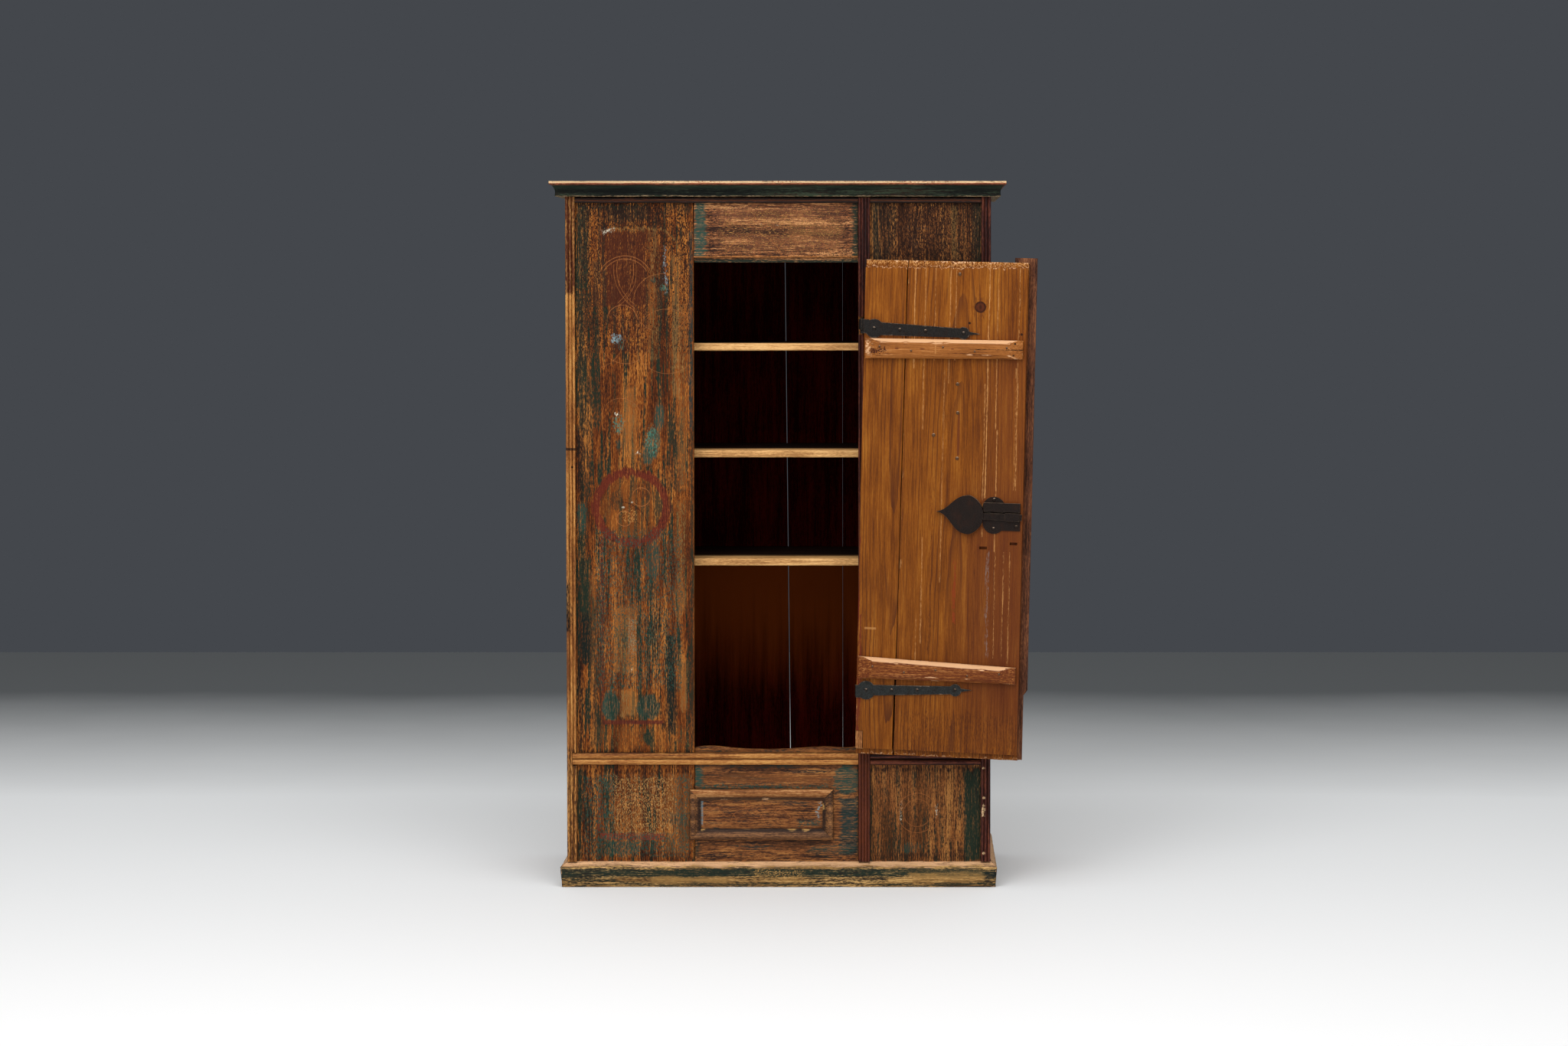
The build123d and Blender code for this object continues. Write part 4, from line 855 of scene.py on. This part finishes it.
def banded_wood(name, stops, marks, heights, **settings):
    """One finish in bands of height, each with only the marks that reach it."""
    bands = []
    for number, (low, high) in enumerate(zip(heights, heights[1:])):
        near = [mark for mark in marks if reaches(mark, low, high)]
        bands.append((high, wood(f"{name}, band {number + 1}", stops, near, **settings)))
    return bands


def growth_rings(finish, ground, upright, strength, heart):
    """Growth rings, sawn through: arches about the heart and lines along the board elsewhere.

    Heart is the place of the arches' middle in mm; each ring is light and ends in a dark line.
    """
    drawn = moved(finish, finish.place, 70.0, 260.0, upright, 16.0)
    drawn = finish.add("VectorMath", {0: drawn, 1: heart}, operation="SUBTRACT")
    drawn = finish.add("VectorMath", {0: drawn, 1: (1.0, 1.0, 0.045) if upright
                                      else (0.045, 1.0, 1.0)}, operation="MULTIPLY")
    rings = finish.add("TexWave", {"Vector": drawn, "Scale": 0.045, "Distortion": 3.0,
                                   "Detail": 3.0, "Detail Scale": 0.6, "Detail Roughness": 0.6},
                       wave_type="RINGS", rings_direction="SPHERICAL", wave_profile="SAW")
    dark = sharpened(finish, rings, 0.6, 1.0)
    seen = streaks(finish, 26.0, 300.0, upright, 51.0, 2.0)
    seen = sharpened(finish, seen, 0.36, 0.62, 0.15 * strength, strength)
    dark = finish.add("Math", {0: dark, 1: seen}, operation="MULTIPLY")
    return finish.add("Mix", {0: dark, 6: ground, 7: colour("grain_dark")}, data_type="RGBA")



def iron(name, dark, light, rust):
    """Charcoal-forged iron, black from the fire and oiled.

    Hammer marks give soft uneven highlights, rust a brown bloom, and handling a paler rim. Faces
    that point up are made paler too, as a painted highlight.
    """
    finish = Finish(name)
    hammered = streaks(finish, 9.0, 9.0, True, 2.0, 2.0)
    grain = streaks(finish, 1.6, 2.4, True, 5.0, 4.0)
    bloom = streaks(finish, 14.0, 20.0, True, 9.0, 5.0)
    ground = finish.add("ValToRGB", {0: grain}, stops={0.3: dark, 0.7: light})
    rusty = sharpened(finish, bloom, 0.5, 0.7, 0.0, 0.4)
    ground = finish.add("Mix", {0: rusty, 6: ground, 7: (*linear(rust), 1)}, data_type="RGBA")
    worn = finish.add("Attribute", attribute_name="wear")
    worn = finish.add("Math", {0: worn.outputs["Fac"], 1: grain, 2: -0.28},
                      operation="MULTIPLY_ADD")
    rim_and_highlight = sharpened(finish, worn, 0.0, 0.25, 0.0, 0.4)
    # Painted highlight: faces that point up are made paler, besides the worn rim
    level = finish.add("SeparateXYZ", {0: finish.normal})
    level = sharpened(finish, level.outputs["Z"], 0.3, 0.7, 0.0, 0.9)
    rim_and_highlight = finish.add("Math", {0: rim_and_highlight, 1: level}, operation="MAXIMUM")
    ground = finish.add("Mix", {0: rim_and_highlight, 6: ground, 7: colour("iron_rim")}, data_type="RGBA")
    height = summed(finish, [(hammered, 1.0), (grain, 0.35)], 0.0)
    bump = finish.add("Bump", {"Height": height, "Strength": 0.6, "Distance": 0.0012})
    rough = sharpened(finish, bloom, 0.4, 0.62, 0.42, 0.7)
    shader = finish.add("BsdfPrincipled", {"Base Color": ground, "Roughness": rough,
                                           "Metallic": 0.75, "Normal": bump})
    return finish.finished(shader)


# ---- Dressing a solid -------------------------------------------------------------------------
def long_edges(bm, convex_only):
    """Real edges of the solid, longer than the shortest that gets wear."""
    found = []
    for edge in bm.edges:
        if edge.is_manifold and edge.calc_length() > LONG_EDGE:
            angle = edge.calc_face_angle_signed(0.0)
            if angle > SHARP or (not convex_only and angle < -SHARP):
                found.append(edge)
    return found


def cut_places(edges, low, high, axis, step):
    """Where a board is cut across an axis: near its edges, and then at every step."""
    ease = wear().edge_ease
    places = set()
    for edge in edges:
        ends = [v.co[axis] for v in edge.verts]
        if abs(ends[0] - ends[1]) < MM:
            places.update(ends[0] + side * off * ease
                          for side in (-1, 1) for off in CUTS_BESIDE_EDGE)
    count = max(1, round((high - low) / step))
    places.update(low + (high - low) * i / count for i in range(1, count))
    kept = []
    for place in sorted(places):
        apart = not kept or place - kept[-1] > CUT_GAP
        if low + CUT_MARGIN < place < high - CUT_MARGIN and apart:
            kept.append(place)
    return kept


def slice_across(bm, axis, places):
    """Cuts the mesh at each place along an axis, working from the low end upwards."""
    normal = Vector((0, 0, 0))
    normal[axis] = 1.0
    work = bm.verts[:] + bm.edges[:] + bm.faces[:]
    for place in places:
        point = normal * place
        done = bmesh.ops.bisect_plane(bm, geom=work, dist=1e-7, plane_co=point, plane_no=normal)
        work = []
        for part in done["geom"]:
            ends = (part,) if isinstance(part, bmesh.types.BMVert) else part.verts
            if max(v.co[axis] for v in ends) > place - WELD:
                work.append(part)


def edge_distance(points, segments):
    """Distance of each point to the nearest of the segments."""
    nearest = np.full(len(points), 1.0)
    for a, b in segments:
        along = b - a
        share = np.clip((points - a) @ along / (along @ along), 0.0, 1.0)
        gap = points - (a + share[:, None] * along)
        nearest = np.minimum(nearest, np.sqrt((gap * gap).sum(1)))
    return nearest


def wear_away(bm, segments, name, ease, chips, wave, grain_axis):
    """Moves every vertex inwards, most along the edges, and notes how far it was worn there."""
    bm.normal_update()
    points = np.array([v.co[:] for v in bm.verts])
    near = edge_distance(points, segments) if segments else np.full(len(points), 1.0)
    near = np.clip(1.0 - near / wear().edge_reach, 0.0, 1.0) ** 2
    layer = bm.verts.layers.float.new("wear")
    shift = Vector((sum(name.encode()) * 0.137 + wear().seed, 0.0, 0.0))
    stretch = Vector((1.0, 1.0, 1.0))
    stretch[grain_axis] = GRAIN_STRETCH
    for vert, edge in zip(bm.verts, near):
        spot = Vector(a * b for a, b in zip(vert.co, stretch))
        worn = 0.0
        if edge > 0:
            slow = 0.5 + 0.5 * noise.noise(spot * SLOW + shift)
            chip = max(0.0, noise.noise(spot * CHIPS + shift) + 0.35 * slow - 0.3)
            worn = edge * (ease * (0.35 + slow) + chips * chip)
        dip = wave * (0.5 + 0.5 * noise.noise(spot * DIPS - shift))
        dip += wave * 0.35 * (0.5 + 0.5 * noise.noise(spot * RIPPLES - shift))
        vert.co -= vert.normal * (worn + dip)
        vert[layer] = worn / MM


def dressed(node, finish, steps, ease=1.0, chips=1.0, wave=1.0, forged=False):
    """A worn copy of a CAD solid. Steps are the grid's steps in X, Y and Z in mm, 0 for none."""
    source = frame["nodes"][node]
    body = source["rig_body"]
    shut = Matrix.Identity(4) if body == "carcass" else DOOR_OPEN.inverted()
    bm = bmesh.new()
    bm.from_mesh(source.data)
    bmesh.ops.transform(bm, matrix=shut, verts=bm.verts)
    bmesh.ops.remove_doubles(bm, verts=bm.verts, dist=WELD)
    bmesh.ops.dissolve_limit(bm, angle_limit=math.radians(0.5), verts=bm.verts, edges=bm.edges)
    if forged:
        round_edges(bm)
    edges = long_edges(bm, convex_only=False)
    worn_edges = long_edges(bm, convex_only=True)
    segments = [tuple(np.array(v.co[:]) for v in e.verts) for e in worn_edges]
    points = np.array([v.co[:] for v in bm.verts])
    low, high = points.min(0), points.max(0)
    grain_axis = int(np.argmax(high - low))
    places = {axis: cut_places(edges, low[axis], high[axis], axis, step * MM)
              for axis, step in enumerate(steps) if step}
    by_size = sorted(places, key=lambda axis: (high - low)[axis])
    for axis in by_size[:1] + by_size[:0:-1]:
        slice_across(bm, axis, places[axis])
    settings = wear()
    if forged:
        dent_iron(bm, node)
    else:
        wear_away(bm, segments, node, ease * settings.edge_ease, chips * settings.chip_depth,
                  wave * settings.face_wave, grain_axis)
    return place_piece(bm, node, body, shut, finish)


def round_edges(bm):
    """Rounds all the real edges of an iron."""
    sharp = [e for e in bm.edges if e.is_manifold and e.calc_face_angle(0.0) > SHARP]
    bmesh.ops.bevel(bm, geom=sharp, offset=wear().iron_round, segments=2, profile=0.6,
                    affect="EDGES", clamp_overlap=True)


def dent_iron(bm, name):
    """Hammer marks: every vertex moves inwards a little, and rims count as worn."""
    bm.normal_update()
    layer = bm.verts.layers.float.new("wear")
    shift = Vector((sum(name.encode()) * 0.173, wear().seed, 0.0))
    bends = {}
    for vert in bm.verts:
        bends[vert] = max((e.calc_face_angle(0.0) for e in vert.link_edges if e.is_manifold),
                          default=0.0)
    for vert in bm.verts:
        rough = 0.5 + 0.5 * noise.noise(vert.co * DENTS + shift)
        vert.co -= vert.normal * wear().iron_dent * rough
        vert[layer] = min(1.0, bends[vert] / SHARP) * (0.4 + rough)


def place_piece(bm, node, body, shut, finish):
    """Makes the worn copy an object that rides on its body in the solid's place."""
    mesh = bpy.data.meshes.new(node + "_worn")
    bm.to_mesh(mesh)
    bm.free()
    if "custom_normal" in mesh.attributes:
        mesh.attributes.remove(mesh.attributes["custom_normal"])
    mesh.materials.clear()
    bands = finish if isinstance(finish, list) else [(math.inf, finish)]
    for _, material in bands:
        mesh.materials.append(material)
    for face in mesh.polygons:
        height = face.center.z / MM
        face.material_index = next(i for i, band in enumerate(bands) if height <= band[0])
    mesh.shade_smooth()
    mesh.set_sharp_from_angle(angle=SHARP)
    piece = bpy.data.objects.new(node + "_worn", mesh)
    bpy.context.scene.collection.objects.link(piece)
    piece.matrix_world = shut.inverted()
    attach(piece, body)
    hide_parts(node)
    return piece


def board_steps(along):
    """Grid steps of a board whose grain runs along this axis, 0, 1 or 2."""
    steps = [wear().cut_across / MM] * 3
    steps[along] = wear().cut_along / MM
    return steps


# ---- Operators --------------------------------------------------------------------------------
# Past these depths the front boards take their near-black inside tones, which are painted shade
FRONT_INNER = ("Y", 12.0, 19.0)  # the depth in mm where the front boards turn bare
LEFT_BANDS = (-math.inf, 340.0, 640.0, 1010.0, math.inf)  # heights in mm


# Lamps: name, place, size and what they look at. The camera stands at an eye's height.
LAMPS = (
    ("key", (-2.6, -4.6, 3.6), 3.0, (0.1, 0.0, 0.8)),
    ("fill", (3.4, -5.2, 2.2), 3.0, (0.1, 0.0, 0.8)),
    ("top", (0.2, -3.4, 5.2), 5.0, (0.2, -2.4, 0.0)),
)
CAMERA_PLACE = (0.2846, -7.0, 1.398)
CAMERA_TILT = math.radians(-1.92)
CAMERA_SHIFT = (-0.0743, -0.085)
FLOOR_NEAR, FLOOR_FAR, FLOOR_HALF, FLOOR_PARTS = -9.0, 4.535, 12.0, 24


class CUPBOARD_OT_stage(bpy.types.Operator):
    """Floor, backdrop, soft lamps and camera"""

    bl_idname = "cupboard.stage"
    bl_label = "Stage"

    def execute(self, context):
        settings = context.scene.cupboard_stage
        make_floor(settings)
        make_sky(context.scene, settings)
        for name, place, size, target in LAMPS:
            make_lamp(name + "_lamp", place, size, getattr(settings, name), target)
        make_camera(context.scene, settings)
        context.scene.view_settings.view_transform = "Standard"
        return {"FINISHED"}


def make_floor(settings):
    """A pale floor that ends at the backdrop, greyer towards it as a painted fall-off of the light.
    """
    rows = np.linspace(FLOOR_NEAR, FLOOR_FAR, FLOOR_PARTS + 1)
    verts = [(side * FLOOR_HALF, y, 0.0) for y in rows for side in (-1, 1)]
    faces = [(2 * i, 2 * i + 1, 2 * i + 3, 2 * i + 2) for i in range(FLOOR_PARTS)]
    mesh = bpy.data.meshes.new("studio_floor")
    mesh.from_pydata(verts, [], faces)
    finish = Finish("matt floor paint, rolled")
    axes = finish.add("SeparateXYZ", {0: finish.place})
    along = finish.add("MapRange", {"Value": axes.outputs["Y"], "From Min": -1000.0,
                                    "From Max": 4500.0})
    cloud = streaks(finish, 900.0, 900.0)
    along = summed(finish, [(along, 1.0), (cloud, 0.05)], -0.025)
    ground = finish.add("ValToRGB", {0: along}, stops={
        0.0: settings.floor_near, 0.41: settings.floor_middle, 0.8: settings.floor_far})
    shader = finish.add("BsdfPrincipled", {"Base Color": ground, "Roughness": 0.7})
    mesh.materials.append(finish.finished(shader))
    floor = bpy.data.objects.new("studio_floor", mesh)
    bpy.context.scene.collection.objects.link(floor)


def make_sky(scene, settings):
    """Even light from all sides; rays that see the sky itself see the backdrop's colour."""
    world = bpy.data.worlds.new("studio")
    world.use_nodes = True
    scene.world = world
    nodes = Nodes(world.node_tree)
    path = nodes.add("LightPath")
    seen = path.outputs["Is Camera Ray"]
    for ray in ("Is Glossy Ray", "Is Transmission Ray"):
        seen = nodes.add("Math", {0: seen, 1: path.outputs[ray]}, operation="MAXIMUM")
    light = nodes.add("Background", {"Color": (1, 1, 1, 1), "Strength": settings.sky})
    wall = nodes.add("Background", {"Color": (*settings.backdrop, 1), "Strength": 1.0})
    both = nodes.add("MixShader", {0: seen, 1: light, 2: wall})
    nodes.add("OutputWorld", {"Surface": both})


def make_lamp(name, place, size, watts, target):
    """A large soft lamp that looks at its target."""
    data = bpy.data.lights.new(name, "AREA")
    data.shape = "SQUARE"
    data.size = size
    data.energy = watts
    lamp = bpy.data.objects.new(name, data)
    lamp.location = place
    aim = Vector(target) - Vector(place)
    lamp.rotation_euler = aim.to_track_quat("-Z", "Y").to_euler()
    bpy.context.scene.collection.objects.link(lamp)


def make_camera(scene, settings):
    """A camera in front of the cupboard, with the frame let down and to the left."""
    data = bpy.data.cameras.new("camera")
    data.lens = settings.lens
    data.sensor_width = 36.0
    data.shift_x, data.shift_y = CAMERA_SHIFT
    camera = bpy.data.objects.new("camera", data)
    camera.location = CAMERA_PLACE
    camera.rotation_euler = (math.radians(90.0) + CAMERA_TILT, 0.0, 0.0)
    scene.collection.objects.link(camera)
    scene.camera = camera


class CUPBOARD_OT_front_boards(bpy.types.Operator):
    """Painted boards of the front, and the bare sides"""

    bl_idname = "cupboard.front_boards"
    bl_label = "Front and side boards"

    def execute(self, context):
        # Honey varnish broken into dark streaks, with green left in the pores
        left = banded_wood("old painted pine, left board", HONEY_STOPS, LEFT_MARKS, LEFT_BANDS,
                           inner=FRONT_INNER, seed=1.0, dirt=(0.0, 0.4), glaze=("green", 0.7),
                           shine=0.12)
        # Brown varnish, darker and more even
        right = wood("old painted pine, right board", BROWN_STOPS, RIGHT_MARKS, inner=FRONT_INNER,
                     seed=4.0, dirt=(0.0, 0.4), glaze=("green", 0.55), shine=0.12)
        # Pinkish wood, scrubbed along the grain
        frieze = wood("old painted pine, frieze", PINK_STOPS, FRIEZE_MARKS, upright=False,
                      inner=FRONT_INNER, seed=8.0, dirt=(0.0, 0.3))
        # Brown boards with a bluish green in the pores, near-black painted shade inside
        lower = wood("old painted pine, lower board", BROWN_STOPS, LOWER_MARKS, upright=False,
                     inner=("Y", 19.0, 21.5), seed=12.0, dirt=(0.0, 0.35),
                     glaze=("blue_green", 0.45))
        # Dull brown that hardly ever had paint, near-black painted shade inside
        side = wood("old varnished pine, sides", SIDE_STOPS, inner=("X", 486.0, 480.0), seed=17.0,
                    dirt=(0.05, 0.4))
        boards = (("front_board_left", left, 2), ("front_board_right", right, 2),
                  ("frieze_board", frieze, 0), ("lower_front_board", lower, 0),
                  ("side_board_left", side, 2), ("side_board_right", side, 2))
        for name, finish, along in boards:
            dressed(name, finish, board_steps(along))
        return {"FINISHED"}


class CUPBOARD_OT_inner_boards(bpy.types.Operator):
    """Back planks, shelves, top and bottom, and the cleats that carry them"""

    bl_idname = "cupboard.inner_boards"
    bl_label = "Inner boards"

    def execute(self, context):
        # Grey-brown outside; inside, glintless painted shade, and painted light under the lowest
        # shelf
        back = wood("bare aged pine, back planks", OUTSIDE_STOPS, inner=("Y", 408.0, 402.0),
                    lines=0.3, seed=21.0, inner_stops=DEEP_SHADE_STOPS, shine=0.0)
        # Grey-brown outside, near-black painted shade on its inside face
        top = wood("bare aged pine, top board", OUTSIDE_STOPS, upright=False,
                   inner=("Z", 1638.0, 1630.0), seed=24.0)
        # Pale edges in front that darken inwards to near-black, which is painted shade
        shelf = wood("bare old pine, shelves", TAN_STOPS, upright=False, seed=27.0, lines=0.3,
                     inner=("Y", 75.0, 160.0))
        # Nearly black: painted shade of the cupboard's inside
        plain = wood("bare old pine, frame", INNER_SHADE_STOPS, upright=False, seed=30.0)
        for hand in ("left", "middle", "right"):
            dressed("back_plank_" + hand, back, board_steps(2), ease=0.0,
                    chips=0.12, wave=0.15)
        dressed("top_board", top, board_steps(0))
        for name in ("upper", "middle", "lower"):
            dressed("shelf_" + name, shelf, board_steps(0), chips=0.6)
        for name in ("bottom_board", "shelf_cleats", "bottom_cleats"):
            dressed(name, plain, (24.0, 24.0, 0.0), chips=0.5)
        return {"FINISHED"}


class CUPBOARD_OT_cornice_plinth(bpy.types.Operator):
    """Painted cornice and plinth"""

    bl_idname = "cupboard.cornice_plinth"
    bl_label = "Cornice and plinth"

    def execute(self, context):
        # Near-black green with cream and rose along its ridges
        # Its lower cream line is partly a painted highlight, the cove's greener top partly a
        # painted sheen
        cornice = wood("painted pine cornice", TEAL_STOPS, CORNICE_MARKS, upright=False, seed=33.0,
                       chips="ochre", dirt=(0.0, 0.4), shine=0.12)
        # Ochre that shows through a worn green band
        plinth = wood("painted pine plinth", OCHRE_STOPS, PLINTH_MARKS, upright=False, seed=36.0,
                      chips="pink_cream", dirt=(0.05, 0.5))
        for side in ("front", "left", "right"):
            x, y = (1.0, 0.0) if side == "front" else (0.0, 1.0)
            dressed("cornice_" + side, cornice, (7.0 * x, 7.0 * y, 0.0),
                    ease=0.5, chips=0.5, wave=0.6)
            dressed("plinth_" + side, plinth, (6.0 * x, 6.0 * y, 5.0),
                    chips=1.3)
        return {"FINISHED"}


class CUPBOARD_OT_mouldings(bpy.types.Operator):
    """Reeded mouldings on the front, and the mitred frame on the lower board"""

    bl_idname = "cupboard.mouldings"
    bl_label = "Mouldings"

    def execute(self, context):
        groove = (-10.8, -8.6)
        # Yellow-brown ridges between dirty grooves
        stile = wood("reeded pine moulding, left", RIDGE_STOPS, STILE_MARKS, groove=groove,
                     seed=40.0, chips="gold")
        # Maroon ridges, nearly black between
        dark = wood("reeded pine moulding, maroon", MAROON_STOPS, DARK_MOULDING_MARKS,
                    groove=groove, seed=43.0, chips="rose")
        level = wood("reeded pine moulding, level", RIDGE_STOPS, upright=False,
                     groove=(-9.0, -7.8), seed=46.0, chips="gold")
        level_dark = wood("reeded pine moulding, level maroon", MAROON_STOPS, TOP_MOULDING_MARKS,
                          upright=False, groove=(-11.0, -9.5), seed=49.0, chips="rose")
        # Paint rubbed off the upper length, and a green cast on the rest
        frame_top = wood("mitred frame, worn pale", PALE_STOPS, upright=False, seed=52.0,
                         groove=(-8.2, -5.4), chips="pink_cream")
        frame_rest = wood("mitred frame, brown-green", FRAME_STOPS, upright=False, seed=55.0,
                          groove=(-8.2, -5.0), chips="ochre")
        along_z, along_x = (0.0, 0.0, 5.0), (5.0, 0.0, 0.0)
        lengths = (
            ("stile_moulding_left", stile, along_z, 0.5, 1.0),
            ("stile_moulding_right", dark, along_z, 0.5, 1.0),
            ("centre_moulding", dark, along_z, 0.5, 1.0),
            ("top_moulding_main", level_dark, along_x, 0.4, 0.5),
            ("top_moulding_right", level_dark, along_x, 0.4, 0.5),
            ("mid_moulding_left", level, along_x, 0.6, 1.0),
            ("mid_moulding_right", level_dark, along_x, 0.6, 1.0),
            ("panel_frame_top", frame_top, along_x, 0.5, 1.0),
            ("panel_frame_bottom", frame_rest, along_x, 0.5, 1.0),
            ("panel_frame_left", frame_rest, along_z, 0.5, 1.0),
            ("panel_frame_right", frame_rest, along_z, 0.5, 1.0),
        )
        for name, finish, steps, wave, chips in lengths:
            dressed(name, finish, steps, wave=wave, chips=chips)
        return {"FINISHED"}


class CUPBOARD_OT_door(bpy.types.Operator):
    """The door's boards, battens and cover strip"""

    bl_idname = "cupboard.door"
    bl_label = "Door"

    def execute(self, context):
        # Waxed orange-brown with growth rings and long pale lines, varnished on the outer side
        waxed = {"inner": ("Y", 8.0, 3.0), "inner_stops": HONEY_STOPS, "roughness": 0.5,
                 "speckle": 0.4, "shine": 0.12, "fade": (1330, 420, 0.15)}
        main = wood("bare waxed pine, door", DOOR_STOPS, DOOR_MARKS, lines=0.8, seed=60.0,
                    heart=(-40.0, 70.0, 300.0), **waxed)
        side = wood("bare waxed pine, hinge board", DOOR_STOPS, HINGE_BOARD_MARKS, lines=0.85,
                    seed=64.0, heart=(105.0, 45.0, 1180.0), **waxed)
        # Lighter pine; its chamfers and other faces that point up get a painted highlight
        batten = wood("planed pine battens", BATTEN_STOPS, BATTEN_MARKS, upright=False, lines=0.25,
                      seed=68.0, chips="pink_cream", roughness=0.45, heart=(-300.0, 200.0, 900.0),
                      upper=("pink_cream", 0.8), speckle=0.5, shine=0.12)
        # Dull red-brown paint, and pale wood let in later
        strip = wood("painted pine cover strip", STRIP_STOPS, seed=72.0, roughness=0.5,
                     shine=0.12)
        patch = wood("new pine patch", PALE_STOPS, seed=76.0)
        dressed("door_board_main", main, board_steps(2), ease=0.7, chips=0.8)
        dressed("door_board_hinge_side", side, board_steps(2), ease=0.5, chips=0.5)
        dressed("door_corner_patch", patch, (6.0, 6.0, 6.0), chips=0.5)
        dressed("door_edge_strip", strip, board_steps(2))
        for name in ("upper", "lower"):
            dressed("door_batten_" + name, batten, (5.0, 6.0, 6.0), chips=1.2)
        return {"FINISHED"}


class CUPBOARD_OT_irons(bpy.types.Operator):
    """Hinges, lock and nails"""

    bl_idname = "cupboard.irons"
    bl_label = "Irons"

    def execute(self, context):
        # Almost black with soft glints, colder where blued, brown and smoother where filed
        black = iron("forged iron, blackened", "#131110", "#2f2b28", "#33211a")
        blue = iron("forged iron, blue-grey", "#181817", "#373a39", "#2f231b")
        brown = iron("filed iron, brown patina", "#130c09", "#2c211c", "#402519")
        rusty = iron("forged nails, rusted", "#3c2415", "#7a5a3e", "#6e4526")
        broad, small = (6.0, 0.0, 6.0), (0.0, 0.0, 0.0)
        irons = (
            (black, broad, "hinge_strap_upper"),
            (black, small, "hinge_pintle_upper hinge_pintle_lower bolt_keeper lock_spring"),
            (black, small, "hinge_nails"),
            (blue, broad, "hinge_strap_lower"),
            (brown, broad, "lock_plate lock_rail bolt_guide lock_bolt lock_cover"),
            (brown, broad, "escutcheon lock_rivets"),
            (rusty, small, "batten_nails door_nails back_nails"),
        )
        for finish, steps, names in irons:
            for name in names.split():
                dressed(name, finish, steps, forged=True)
        return {"FINISHED"}


STEPS = (
    CUPBOARD_OT_stage,
    CUPBOARD_OT_front_boards,
    CUPBOARD_OT_inner_boards,
    CUPBOARD_OT_cornice_plinth,
    CUPBOARD_OT_mouldings,
    CUPBOARD_OT_door,
    CUPBOARD_OT_irons,
)


class CUPBOARD_PT_panel(bpy.types.Panel):
    """Settings and steps of the cupboard"""

    bl_idname = "CUPBOARD_PT_panel"
    bl_label = "Painted store cupboard"
    bl_space_type = "VIEW_3D"
    bl_region_type = "UI"
    bl_category = "Cupboard"

    def draw(self, context):
        for name, group in GROUPS.items():
            box = self.layout.box()
            box.label(text=group.__doc__)
            for prop in group.__annotations__:
                box.prop(getattr(context.scene, name), prop)
        for step in STEPS:
            self.layout.operator(step.bl_idname)


def register():
    """Makes the settings, steps and panel known to Blender."""
    for group in GROUPS.values():
        bpy.utils.register_class(group)
    for step in (*STEPS, CUPBOARD_PT_panel):
        bpy.utils.register_class(step)
    for name, group in GROUPS.items():
        setattr(bpy.types.Scene, name, PointerProperty(type=group))


def unregister():
    """Takes them away again."""
    for name in GROUPS:
        delattr(bpy.types.Scene, name)
    for step in (CUPBOARD_PT_panel, *reversed(STEPS)):
        bpy.utils.unregister_class(step)
    for group in reversed(GROUPS.values()):
        bpy.utils.unregister_class(group)


def main():
    """Registers the settings and runs all steps in order."""
    register()
    for step in STEPS:
        group, name = step.bl_idname.split(".")
        getattr(getattr(bpy.ops, group), name)()
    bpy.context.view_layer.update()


if __name__ == "__main__":
    main()
